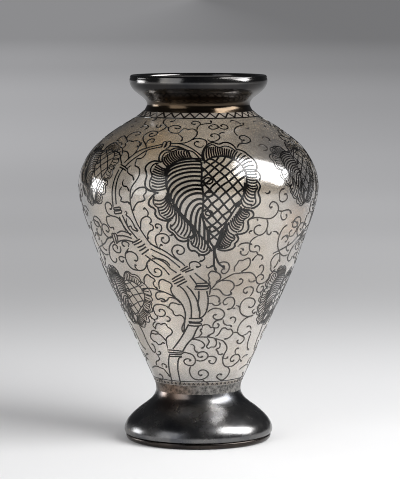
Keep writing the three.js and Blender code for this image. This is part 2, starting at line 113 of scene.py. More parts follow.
# Lines over the glass, in millimetres.
LINE_STEP = 0.9
LINE_HEIGHT = 0.24
BED_HEIGHT = 0.08
LINE_LIFT = 0.02
STEM_WIDTH = 1.25
TENDRIL_WIDTH = 1.2
LEAF_WIDTH = 1.65
STRIPE_WIDTH = 1.85
LATTICE_WIDTH = 1.6
RIB_WIDTH = 1.3
FILL_WIDTH = 3
# Section of a line, as shares of its half width and of its height.
SECTION = [(1, 0), (0.75, 1), (-0.75, 1), (-1, 0)]
# A rolled line widens from a share of its width, swells into a bud near its end and narrows there.
START_SHARE = 0.35
START_TAPER = 2.2
BUD = 0.5
BUD_LENGTH = 2.6
END_SHARE = 0.45
# Looks of a line, in the order of its materials.
DARK, GREY, UNDERSIDE, PALE = range(4)

# Borders that circle the glass, with heights up the glass from the waist.
CIRCLE_STEPS = 120
NECK_TEETH = 36
NECK_TEETH_LOW = 251.4
NECK_TEETH_HIGH = 256.6
NECK_TEETH_PHASE = -3.5
NECK_TOOTH_WIDTH = 1.5
NECK_LINE = 250.6
NECK_LINE_WIDTH = 1.4
WAIST_TEETH = 60
WAIST_TEETH_LOW = 7.9
WAIST_TEETH_HIGH = 9.6
WAIST_TOOTH_REACH = 1.4
WAIST_TOOTH_WIDTH = 0.8
WAIST_BED = 8.7
WAIST_BED_WIDTH = 2.6
WAIST_LINE = 11
WAIST_LINE_WIDTH = 0.7

# Leaves. The small ones are the large one moved to a middle, scaled and turned by degrees. They have
# narrower lines, every second lattice line, two thirds of the ribs and no dark corners.
PLANTS = 3
LARGE_LEAF_MIDDLE = (3, 170)
SIDE_LEAF = ((-61.5, 188), 0.58, 0)
LOW_LEAF = ((-55.5, 84), 0.56, -19)
SMALL_NARROWER = 0.6
SMALL_LATTICE_STEP = 2
SMALL_FEWEST_RIBS = 3
# How far a stripe falls, by the height at which it starts, and the angle at which it starts.
STRIPE_DROPS = ([147, 160, 175, 191.6, 202.8], [13, 17, 15, 11.5, 8])
STRIPE_START = math.radians(75)

# The vine of one plant, as it lies on the glass from 75 degrees left of the front to 61 degrees right.
# Places are (degrees to the right, millimetres up the glass from the waist).
STEM = [
    [(-35.4, 9.6), (-34.5, 20), (-33, 27), (-30.5, 33), (-28.5, 36)],
    [(-23.4, 9), (-23.4, 16), (-23.2, 22), (-22.3, 26), (-21, 30), (-19, 33), (-16, 34)],
    [(-24, 41), (-20, 45), (-15, 51), (-12, 55.5), (-9.5, 60), (-7.5, 64)],
    [(-15, 38.5), (-12, 43), (-8, 48), (-5, 51), (-3.5, 54), (-1.5, 59), (0.5, 62.5)],
    [(-5.2, 70), (-4.9, 77), (-5.4, 84), (-7, 90), (-9.3, 95.5), (-11.5, 98.3)],
    [(0.8, 70), (1, 76), (0, 81), (-1, 86), (-2.5, 90), (-4.5, 94.5), (-7, 98.5)],
    [(1.5, 70), (3, 71), (5, 74), (6, 78), (6.5, 84), (6, 90), (5.2, 94)],
    [(0.5, 76), (-0.3, 82), (0.3, 88), (0.3, 94)],
    [(-1, 100), (-5, 108)],
    [(5, 102), (1, 106), (-2, 110)],
    [(-26, 134), (-22, 131), (-18, 128), (-13, 122.5), (-9, 118.5), (-7.5, 116)],
    [(-26, 129.5), (-21, 126), (-17, 123), (-12.5, 117.5), (-10.3, 114.5)],
    [(-26, 124), (-23, 121.5), (-19, 118.5), (-15.5, 113), (-12.5, 110)],
    [(-30, 124), (-26, 119.5), (-20, 113.5), (-17, 108)],
    [(-26, 121), (-22, 121.5), (-18, 119.5), (-16, 116)],
    [(-36.8, 139.7), (-40, 148), (-41.5, 155)],
    [(-33, 137.4), (-37, 146), (-39.3, 156.6)],
    [(-44.3, 163), (-44.2, 172), (-43.7, 180), (-43, 186), (-42, 192)],
    [(-42, 165), (-41.8, 178), (-40.8, 188), (-39.5, 193)],
    [(-40, 198), (-36, 206), (-33, 210), (-29.5, 212.5), (-25, 215), (-21, 217)],
    [(-38.5, 195), (-36, 200), (-32, 206), (-29, 210), (-25, 212.5), (-21, 214)],
    [(-17, 218), (-12, 218), (-8, 216.5), (-4, 213), (0, 208), (2.5, 203.5), (3.5, 200.5)],
    [(-17, 215), (-11, 214.5), (-7, 211.5), (-3, 209.5), (0, 204.5), (1.5, 201)],
    [(-36, 141), (-42, 143), (-46, 141)],
    [(-36.5, 137.5), (-41, 139), (-47, 138.5)],
    [(-36, 134.5), (-41, 135.5), (-46, 134), (-48.5, 132)],
    [(-51, 137.5), (-56, 135), (-60, 131), (-66, 128), (-75, 124)],
    [(-51, 133.5), (-55, 130), (-58, 125), (-59, 118), (-56, 115), (-53, 117), (-53, 119)],
    [(-41.5, 197), (-43.5, 201), (-46, 205.5), (-50, 207.5), (-55, 206), (-57, 203)],
]
TIES = [
    [(-30, 37.5), (-22, 37.3), (-15, 37.5)],
    [(-30, 39.5), (-22, 39.6), (-15, 39)],
    [(-29, 33.5), (-22, 34), (-16, 34)],
    [(-28, 35.6), (-22, 35.8), (-16, 35.8)],
    [(-7.5, 62.8), (-2, 62.4), (2, 63), (2.4, 64.4), (-2, 65), (-7.2, 65.2)],
    [(-7.5, 66.4), (-2, 66), (2.3, 66.6), (2.5, 69), (-2, 69.3), (-7, 69.4)],
    [(-2.5, 96), (1, 95.6), (5.6, 96.2), (6.3, 97.6), (2, 98.2), (-2.2, 97.8)],
    [(-1.6, 99.2), (2, 98.9), (6.2, 99.4), (6.2, 101), (2, 101), (-1.6, 100.8)],
    [(-15.8, 104), (-13, 106.6), (-10, 109)],
    [(-15.5, 102), (-12, 104.8), (-8.7, 107)],
    [(-14.6, 100.2), (-11, 102.6), (-7.8, 105)],
    [(-13, 98), (-10, 100.6), (-6.8, 103)],
    [(-10.2, 112), (-8, 114), (-6, 115.8)],
    [(-9.3, 111), (-6, 113.4), (-4.4, 114.6)],
    [(-7.5, 110.5), (-5, 112), (-2.7, 113.2)],
    [(-36.8, 133.5), (-34, 135.4), (-31.4, 137.4)],
    [(-36, 132), (-33, 133.8), (-30.4, 136)],
    [(-34, 130), (-31, 131.6), (-29, 133.5)],
    [(-33.2, 127.2), (-30.6, 129.2), (-28.4, 131.2)],
    [(-32.2, 124.3), (-29.6, 126.6), (-27.2, 129)],
    [(-44, 157.2), (-41.6, 157.6), (-39.4, 158.6), (-39.4, 160.4), (-41.8, 159.8), (-44.2, 159.2),
     (-44, 157.2)],
    [(-44, 160.2), (-41.6, 160.8), (-39.6, 161.6), (-40, 162.8), (-42.4, 162.2), (-44.2, 161.6),
     (-44, 160.2)],
    [(-42, 194.3), (-39.6, 193.2), (-37.3, 191.6)],
    [(-42, 196.4), (-39.4, 195), (-37, 193.2)],
    [(-21, 213.4), (-20.8, 219.6), (-19.4, 219.8), (-19.3, 213)],
    [(-18.7, 214), (-18.4, 220.2), (-16.8, 220), (-16.6, 213.4), (-18.2, 212.6)],
    [(-50.2, 131.6), (-50.4, 139.8), (-49, 140.2), (-48.6, 131.6)],
    [(-48.2, 132), (-48.4, 140.4), (-47, 140), (-47, 133)],
]
# Small leaves on the stem, each drawn by its outline.
LEAVES = [
    [(-12, 56), (-10.3, 66), (-9.4, 73), (-10.4, 80), (-13, 85.5), (-17, 89.5), (-22, 92.5), (-26, 94),
     (-30, 95.2), (-35, 94.5), (-39, 92)],
    [(-29, 210), (-29, 205.5), (-30.6, 202.4), (-33, 202), (-33, 200), (-32.7, 196), (-30.6, 194.7),
     (-29.3, 191.6), (-29.3, 187.8), (-30.4, 184), (-32.7, 178), (-33.3, 166), (-32.5, 158), (-31.8, 153.5),
     (-30.6, 148), (-29.3, 143.5), (-27.7, 139), (-25.6, 134.3), (-22.7, 131.2), (-20, 129.7)],
    [(-35, 196), (-36.6, 194), (-36.4, 191), (-34.8, 189), (-32.7, 187.4), (-31.6, 184)],
    [(-37.3, 184.7), (-38, 182), (-37.3, 179.7), (-35.2, 179), (-33.7, 175.5)],
    [(-38, 179), (-39.3, 176), (-39.5, 172.4), (-38.3, 170), (-39, 168), (-36.8, 167), (-34.8, 167.4),
     (-33.5, 165.5)],
    [(-32.7, 170), (-31.4, 174.7), (-29.3, 178), (-26.8, 179.3), (-25, 178.5), (-24.8, 175.5), (-26, 173),
     (-25.4, 170), (-26.8, 168.5), (-29.3, 167.4), (-31.4, 163.5), (-32.3, 160.5)],
    [(-36, 205.5), (-35.4, 209), (-35.4, 214), (-36.6, 218), (-39, 219.7), (-41.4, 219.8), (-42.7, 218.5),
     (-44.3, 219.3), (-46.8, 219), (-47, 216), (-45.6, 213.5), (-46.4, 211), (-45.6, 209), (-43.5, 208.3),
     (-41, 207.4), (-39, 204), (-38, 201)],
    [(-29.8, 145), (-29.3, 149.7), (-28.5, 153.5), (-26.8, 155.8), (-25, 156.6), (-23.3, 154.7),
     (-23.3, 152.4), (-24.3, 150.8), (-22.7, 149), (-22.9, 146), (-25, 144.3), (-26.4, 141),
     (-26.4, 137.4)],
    [(-25, 156.6), (-24.3, 159.3), (-25, 162), (-26, 163.2), (-26.6, 162)],
    [(-37.5, 158.9), (-36.8, 159.7), (-36, 158.8), (-37, 156.8), (-35.6, 155.4), (-34.4, 153),
     (-33.4, 149.6), (-33, 147), (-31.6, 145)],
    [(-37.1, 154.2), (-37.5, 150.5), (-36.9, 147.2), (-35.2, 148), (-34.9, 145.8), (-33.3, 144.2),
     (-31.2, 144.4)],
]
# Tendrils: dark ones high up, paler ones at the right and low down.
TENDRILS = [
    [(-50.2, 245.5), (-49.3, 242.8), (-47.2, 240.5), (-43.5, 239.7), (-41.4, 238.2), (-40.6, 236.2),
     (-42.2, 234)],
    [(-45.2, 248.5), (-43, 249.7), (-41, 248.2), (-43.9, 246.3)],
    [(-31, 250), (-31.2, 246.2), (-29.8, 243.2), (-27.3, 241.2), (-25, 239), (-22.7, 237.4), (-22, 234.7),
     (-20.2, 232.4), (-18, 230.8), (-15.6, 230.5), (-13.5, 230.8), (-12.5, 232.8), (-11.8, 234.7),
     (-10.8, 236.2), (-8.9, 236.4), (-7.5, 235.5), (-4.3, 236.2), (-2.3, 235), (-1, 233.2), (-0.8, 230.5),
     (-1.4, 227.4), (-3, 224.3), (-5.2, 221.2), (-7.3, 219.3), (-12.3, 217.8)],
    [(-22.7, 237.4), (-21.4, 239.3), (-19.8, 240.5), (-17.7, 240.8), (-15.2, 240), (-13.5, 238.5),
     (-14.1, 236.6), (-16, 236.2), (-17.3, 237), (-17, 237.8)],
    [(-13.5, 229.3), (-11.8, 227.4), (-10.4, 225.5), (-10, 223.2), (-10.6, 220.5)],
    [(-1, 234), (-0.8, 237.8), (0.7, 240.8), (3.2, 242.4), (6.5, 243.2), (9.4, 243.5), (10.9, 245),
     (10.7, 247.8)],
    [(1.3, 241.6), (1.5, 244), (0.3, 245.8), (-1.8, 246.6), (-3.9, 246.6), (-5.4, 245), (-5, 242.8),
     (-3.1, 242.4), (-2, 243.2)],
    [(4.6, 217), (4.9, 220), (4, 222.4), (2.3, 223.5), (-0.2, 224.3), (-2.3, 224), (-3.5, 222.4)],
    [(3.2, 216.2), (1.5, 214), (-0.6, 214.7), (-2, 216.6), (-2.3, 219), (-1, 220.5), (0.7, 219.7)],
    [(9.8, 242.8), (12.3, 242.4), (14.4, 241.2), (15.3, 238.5), (13.6, 236.6), (11.1, 235.8), (9, 236.2),
     (7.8, 238.5), (9.5, 240.5), (11, 239.5)],
    [(15.3, 238.5), (17.2, 236.2), (20, 235.6), (22.4, 237), (22.6, 240), (20.4, 242), (18, 241),
     (18.4, 238.8)],
    [(5.7, 223.2), (6.9, 220.8), (9.8, 220.8), (12.3, 222.8), (13.8, 225.5), (13.4, 228.2), (11.5, 229.7),
     (9, 229.3), (8, 227.4), (9.4, 226.2)],
    [(13.4, 228.2), (15, 230.5), (17, 231.4), (18.2, 230.4)],
    [(22, 213), (24.6, 217.4), (28.6, 217.6), (32.4, 219.4), (33.6, 223), (31.6, 226.4), (28.4, 226.6),
     (26.6, 224), (27.6, 221.4), (29.6, 221.6)],
    [(26.4, 226), (25.6, 230), (26.6, 234.4), (30, 238), (34, 239.6), (37.6, 240.6), (40, 243.4)],
    [(-30, 212), (-31.4, 215.5), (-33.5, 218.5), (-36, 221.6), (-37.5, 225.5), (-36.8, 229.3), (-34.8, 232),
     (-31.8, 232.4), (-29.1, 231.2), (-28.7, 228.5), (-30.2, 226.2), (-32.7, 225.8), (-33.9, 227.8),
     (-33.1, 229.5), (-31.6, 229.2)],
    [(-28.5, 231.6), (-26.8, 234), (-25.4, 236.2), (-24.8, 238.5)],
    [(-31.4, 217), (-32, 220), (-30.8, 222.4), (-28.9, 222.8), (-27.5, 220.8), (-28.1, 219),
     (-29.3, 219.3)],
    [(-34.6, 241.4), (-33.4, 238), (-31.4, 237.4), (-30, 239.4), (-31.4, 241)],
    [(-46.8, 219), (-49.3, 220.8), (-51.4, 224), (-51, 227), (-48, 230), (-44.3, 230.5), (-42.2, 228.5),
     (-43.5, 226.6), (-45.6, 226.6)],
    [(-49.3, 220.8), (-53, 223.5), (-55.6, 224.7), (-57.2, 223.2), (-57.7, 218.5), (-54.8, 218.2)],
    [(-41, 152), (-42.7, 154), (-45.2, 155), (-47.7, 155.5), (-49.3, 157), (-50, 160.5), (-49.8, 164.3),
     (-48, 166), (-46, 165), (-45.2, 162.8), (-46, 160.8), (-47.3, 160.8)],
    [(-39.3, 143.5), (-40.6, 149.7), (-42, 153.5)],
    [(-48, 154.7), (-50.6, 154), (-51.6, 151.2), (-51.4, 147.4), (-50, 145), (-48, 145.5), (-47.7, 143.5)],
    [(-50, 139), (-52.3, 136.2), (-55.2, 136.6), (-57.7, 139.7), (-58.1, 143.5), (-56.8, 146.6),
     (-54.3, 147.4), (-52.3, 145.8), (-51.8, 142.8), (-53.5, 140.8), (-55, 142.4)],
    [(-57, 147), (-58.6, 151.4), (-62, 153), (-65, 150.4), (-64.6, 145.6), (-61.6, 144.4), (-59.8, 147),
     (-61.4, 149)],
    [(-40.2, 130), (-39.3, 132.8), (-41.4, 134.3), (-44, 133.5), (-44.3, 131.2), (-42.7, 130)],
    [(-46.4, 130), (-46.6, 126.6), (-48, 124.3), (-50.6, 124.1), (-52.7, 125.8), (-53.1, 128.5),
     (-51.4, 130.5), (-49, 130), (-49.3, 127)],
    [(-40.2, 129), (-41.8, 126.6), (-43.9, 123.5), (-44.5, 119), (-43.5, 114.3), (-41, 111.2),
     (-37.7, 110.5), (-33.9, 110.8), (-31.4, 113.2), (-29.8, 117.4), (-27.3, 120.5)],
    [(-43.9, 123.5), (-41, 125.8), (-38, 125.7), (-35.8, 123.5), (-35.4, 120.5), (-36.6, 118.5),
     (-38.3, 119)],
    [(-37.3, 111), (-38.7, 112.8), (-38.5, 114.7), (-37.3, 114.5)],
    [(-44.8, 120), (-47.3, 121), (-50.2, 119.7), (-49.6, 117), (-47.6, 116.4), (-46.8, 118.2)],
    [(-29.8, 117.4), (-30, 112.8), (-28.9, 109), (-26.4, 106.2), (-24, 106), (-21.8, 108.2), (-21.6, 110.8),
     (-23.1, 112.8), (-25.2, 112.8), (-26, 110.5), (-24.8, 109.3)],
    [(-34.8, 99), (-34.5, 102.8), (-33.1, 105.8), (-31, 107.4), (-29.3, 105.5), (-27.3, 104),
     (-26.8, 102.4), (-28.3, 100.5), (-28.1, 97.4), (-26, 95)],
    [(-24.8, 95), (-24.8, 99), (-23.9, 102.4), (-21.8, 103.8), (-19.8, 102.8), (-17, 100.8), (-16.2, 98.5),
     (-17.3, 96.2), (-17, 92), (-15.2, 87.8)],
    [(-22, 92.5), (-26, 92.4), (-28.3, 90.5), (-28.7, 87.4), (-27.7, 85.5), (-24.8, 86.6), (-22.3, 84.7)],
    [(-21.8, 131.2), (-22.5, 136.6), (-21.8, 140.5), (-19.8, 142.4), (-16.8, 142.4), (-15.2, 140.5),
     (-15, 137.4), (-16.4, 135), (-18.1, 135), (-19.1, 137), (-18.5, 139.3), (-17.5, 138.9)],
    [(-15, 141), (-13.5, 141.6), (-12.8, 142.8)],
    [(-20.6, 131.2), (-20, 133.2), (-18.7, 132.8)],
    [(-19.8, 143.5), (-18.5, 145.8), (-18.3, 149), (-19.1, 150.5), (-20.8, 150.5), (-21.4, 149),
     (-20.8, 147.4), (-20, 148.2)],
    [(-10.2, 120.5), (-12.7, 123.5), (-14.1, 127.4), (-13.5, 131.2), (-11.4, 133.5), (-8.9, 132.8),
     (-7.5, 130.5), (-7.7, 127.4), (-9.3, 125.8), (-11, 126.2), (-11.4, 128.2), (-10.4, 129.3)],
    [(-5, 115), (-4.8, 118.2), (-2.7, 119.7), (-0.2, 119), (1.3, 116.6), (-0.5, 115), (-1.4, 115.8)],
    [(-20.8, 249), (-21.4, 247), (-23.4, 246), (-25, 246.4)],
    [(-35.6, 218.4), (-34.8, 216.2), (-35.2, 214), (-36.4, 213.2), (-36.8, 214.8)],
    [(-50, 237.2), (-48, 236.4), (-46.6, 237.6), (-48.4, 238.6)],
    [(-62, 237.4), (-60, 236.6), (-58.6, 238)],
    [(0, 126), (0.3, 124.4), (0.7, 124.2)],
    [(2.3, 125.5), (3.3, 123.7), (3.4, 122.3), (2.7, 121), (1.7, 120.1), (0.4, 119.9)],
    [(4.1, 116.8), (4.9, 114.5), (6, 114.5), (7.1, 115.4), (8.4, 116.5)],
    [(9.4, 114), (9.8, 112), (10.4, 110.2)],
    [(32.4, 175), (33.5, 174), (34.9, 174.8), (34.9, 176.2)],
]
PALE_TENDRILS = [
    [(7.1, 90.5), (7.3, 94.3), (7.3, 98.2), (6.1, 100)],
    [(7.3, 95), (9.4, 98.2), (11.1, 101.2), (14, 103.5), (16.9, 105.8), (20.3, 108.5), (24, 109.1),
     (27.8, 109.3), (31.9, 108.9), (34.4, 107), (36.5, 104), (37.8, 100.5), (39.8, 98.5), (43.2, 98.5),
     (45.7, 100), (47.3, 103.2), (47.3, 106.6)],
    [(36.8, 103.5), (37.8, 105.8), (39.8, 106.6), (42.3, 105), (42.5, 102.8), (41.1, 102)],
    [(39, 106.6), (40.5, 109.7), (40.3, 112.8), (39, 114.7), (37.5, 114.3), (37.3, 112.4)],
    [(13, 103), (17.3, 103.2), (19.8, 102.4), (22.1, 99.3), (22.3, 96.2), (20.7, 93.5), (21.9, 90.5)],
    [(22.3, 98), (25.3, 98.5), (27.3, 100.5), (27.5, 102.4), (26.1, 104), (24.8, 103.2)],
    [(8.6, 95), (11.1, 95.8), (13.2, 95), (14.6, 92.8), (16.5, 90.5), (19.8, 90), (21.5, 90.8)],
    [(6.5, 89), (9.4, 90), (12.3, 89), (14, 86.6), (13.8, 83.5)],
    [(35.7, 87.4), (37.1, 90.5), (36.9, 94.3), (34.8, 96.2), (31.9, 96.2), (29.8, 94.7), (30, 92),
     (31.9, 90.8), (33.2, 92.4)],
    [(31.5, 103.5), (32.3, 101.2), (34.8, 100.8), (36.5, 102)],
    [(41.5, 98.2), (40, 95.8), (40.3, 92.4), (42.3, 90.5), (44.8, 91.2), (45.9, 94), (44.4, 95.8),
     (42.8, 95)],
    [(25.7, 154.3), (28.2, 155.5), (31.5, 155), (34.8, 154), (37.8, 154.3), (39.8, 156.2), (41.1, 159.7),
     (40.7, 163.5), (39, 166.6), (36.9, 167.4), (35.5, 165.5), (35.9, 162.8), (37.3, 163.5)],
    [(29.2, 154.7), (30, 152.8)],
    [(34.8, 154), (36.1, 150.5), (36.3, 146.6), (35.3, 142.4), (32.8, 140.5), (30.3, 141.6), (28.8, 144.3),
     (29, 147.4), (30.7, 149), (32.3, 148.5)],
    [(26.9, 142), (26.1, 143.5), (27.8, 145)],
    [(40.7, 169), (42.3, 167), (44.8, 167.4), (46.1, 169.7), (45.3, 172.8), (43.8, 172.4)],
    [(41.1, 169.3), (40.7, 173.2), (42, 176.2), (44, 177)],
    [(40.7, 160.5), (43.2, 159.3), (46.9, 160), (49.4, 159.3), (51.1, 156.6)],
    [(43.3, 159), (43.8, 155), (45.7, 152), (47.6, 152.6), (48.2, 154.7), (46.9, 156.6)],
    [(40.7, 142.9), (43.2, 142.4), (45.3, 140)],
    [(36.5, 145), (37.3, 141.2), (39, 140.5), (39.8, 142.8)],
    [(31.5, 139.7), (29.4, 138.2), (27.8, 135), (27.8, 131.2), (28.6, 127.8), (30.7, 126.6), (32.8, 126.6),
     (34, 124.3), (36.5, 123.2), (38, 121.2), (37.1, 119.3)],
    [(34.4, 126.6), (34.4, 129.7), (33, 131.6), (31.3, 131.6), (31.1, 130)],
    [(27.8, 127.4), (26.9, 124.7), (24.8, 124.3), (23.2, 125.8), (23, 128.2)],
    [(34, 124.3), (32.3, 122), (31.1, 119)],
    [(20.9, 110.5), (20.9, 115), (21.9, 117), (23, 120), (24.8, 119.7), (26.5, 120.8), (28.6, 121.6),
     (29.8, 119.7), (30, 115.8), (28.6, 112.8), (26.5, 111.2), (25.3, 109.3)],
    [(50.7, 123.5), (47.8, 122.8), (45.9, 120.5), (45, 117), (46.1, 113.2), (46.9, 109.7), (49, 108.2),
     (51.1, 109.7)],
    [(50.7, 123.5), (52, 119.7), (53.2, 115.8)],
    [(60, 121), (55.7, 120.6), (52.8, 122), (49.8, 125), (47.3, 129.7), (46.3, 135), (46.5, 141.2),
     (48.2, 145.8), (50.3, 147.4)],
    [(48.6, 135), (49.8, 137.4), (52.3, 137.8), (54.2, 135.8)],
    [(20.8, 131.4), (22.4, 133.8), (25, 134.6), (27.6, 134), (29, 132.6)],
    [(22.6, 130), (24.2, 129.4), (24.6, 128)],
    [(53, 149), (56, 149.6), (59, 147.6), (60.6, 144), (60, 139.6), (57.6, 137), (55, 137.6), (54.4, 141),
     (56, 142.6)],
    [(56.6, 133), (56, 130), (55.6, 127.4), (57.2, 125), (59.4, 124.6)],
    [(49.4, 135.6), (50.4, 137.8), (53, 138.2), (54.4, 136.4), (54, 133.6), (52.4, 132.6)],
    [(51.4, 118), (51.2, 115), (50.2, 112.6), (49, 111)],
    [(6.6, 98.5), (6.9, 101.4), (6.1, 103.6), (6.4, 105.6), (5.8, 107.4), (6, 109.4), (7.4, 111.5),
     (9.4, 111), (11.2, 110), (12.6, 108.2), (13.2, 105.8), (12.8, 104.4), (11.6, 102.9), (10.4, 101.5)],
    [(11, 117.7), (12.6, 118.9), (14.6, 119.2), (16.6, 118), (17.6, 115), (17.2, 111.6), (15.6, 109.4),
     (13.8, 109.6), (13.2, 111.6), (14.2, 113.4), (15.4, 113)],
    [(6.9, 83), (9, 83), (10.8, 81.4), (13.4, 81.2), (15.4, 83.6)],
    [(44, 75.6), (42.6, 73.6), (44.6, 71.4), (46.4, 72.8)],
    [(27.6, 244.6), (29.2, 246.8), (32.4, 246.8), (35, 244.6), (36.4, 241.6)],
    [(30.8, 243.4), (32.6, 243.6)],
    [(37, 236), (39, 235.4), (40.4, 236.6)],
    [(52, 243), (54, 244.4), (56, 243.4)],
    [(36, 214), (38, 215.4), (40.4, 214.6), (41.4, 212), (40, 209.6), (37.6, 209.6)],
    [(43, 222), (45, 224), (48, 223.4), (49, 220.6), (47, 218.8)],
    [(24, 216), (26, 218), (27.6, 221)],
]
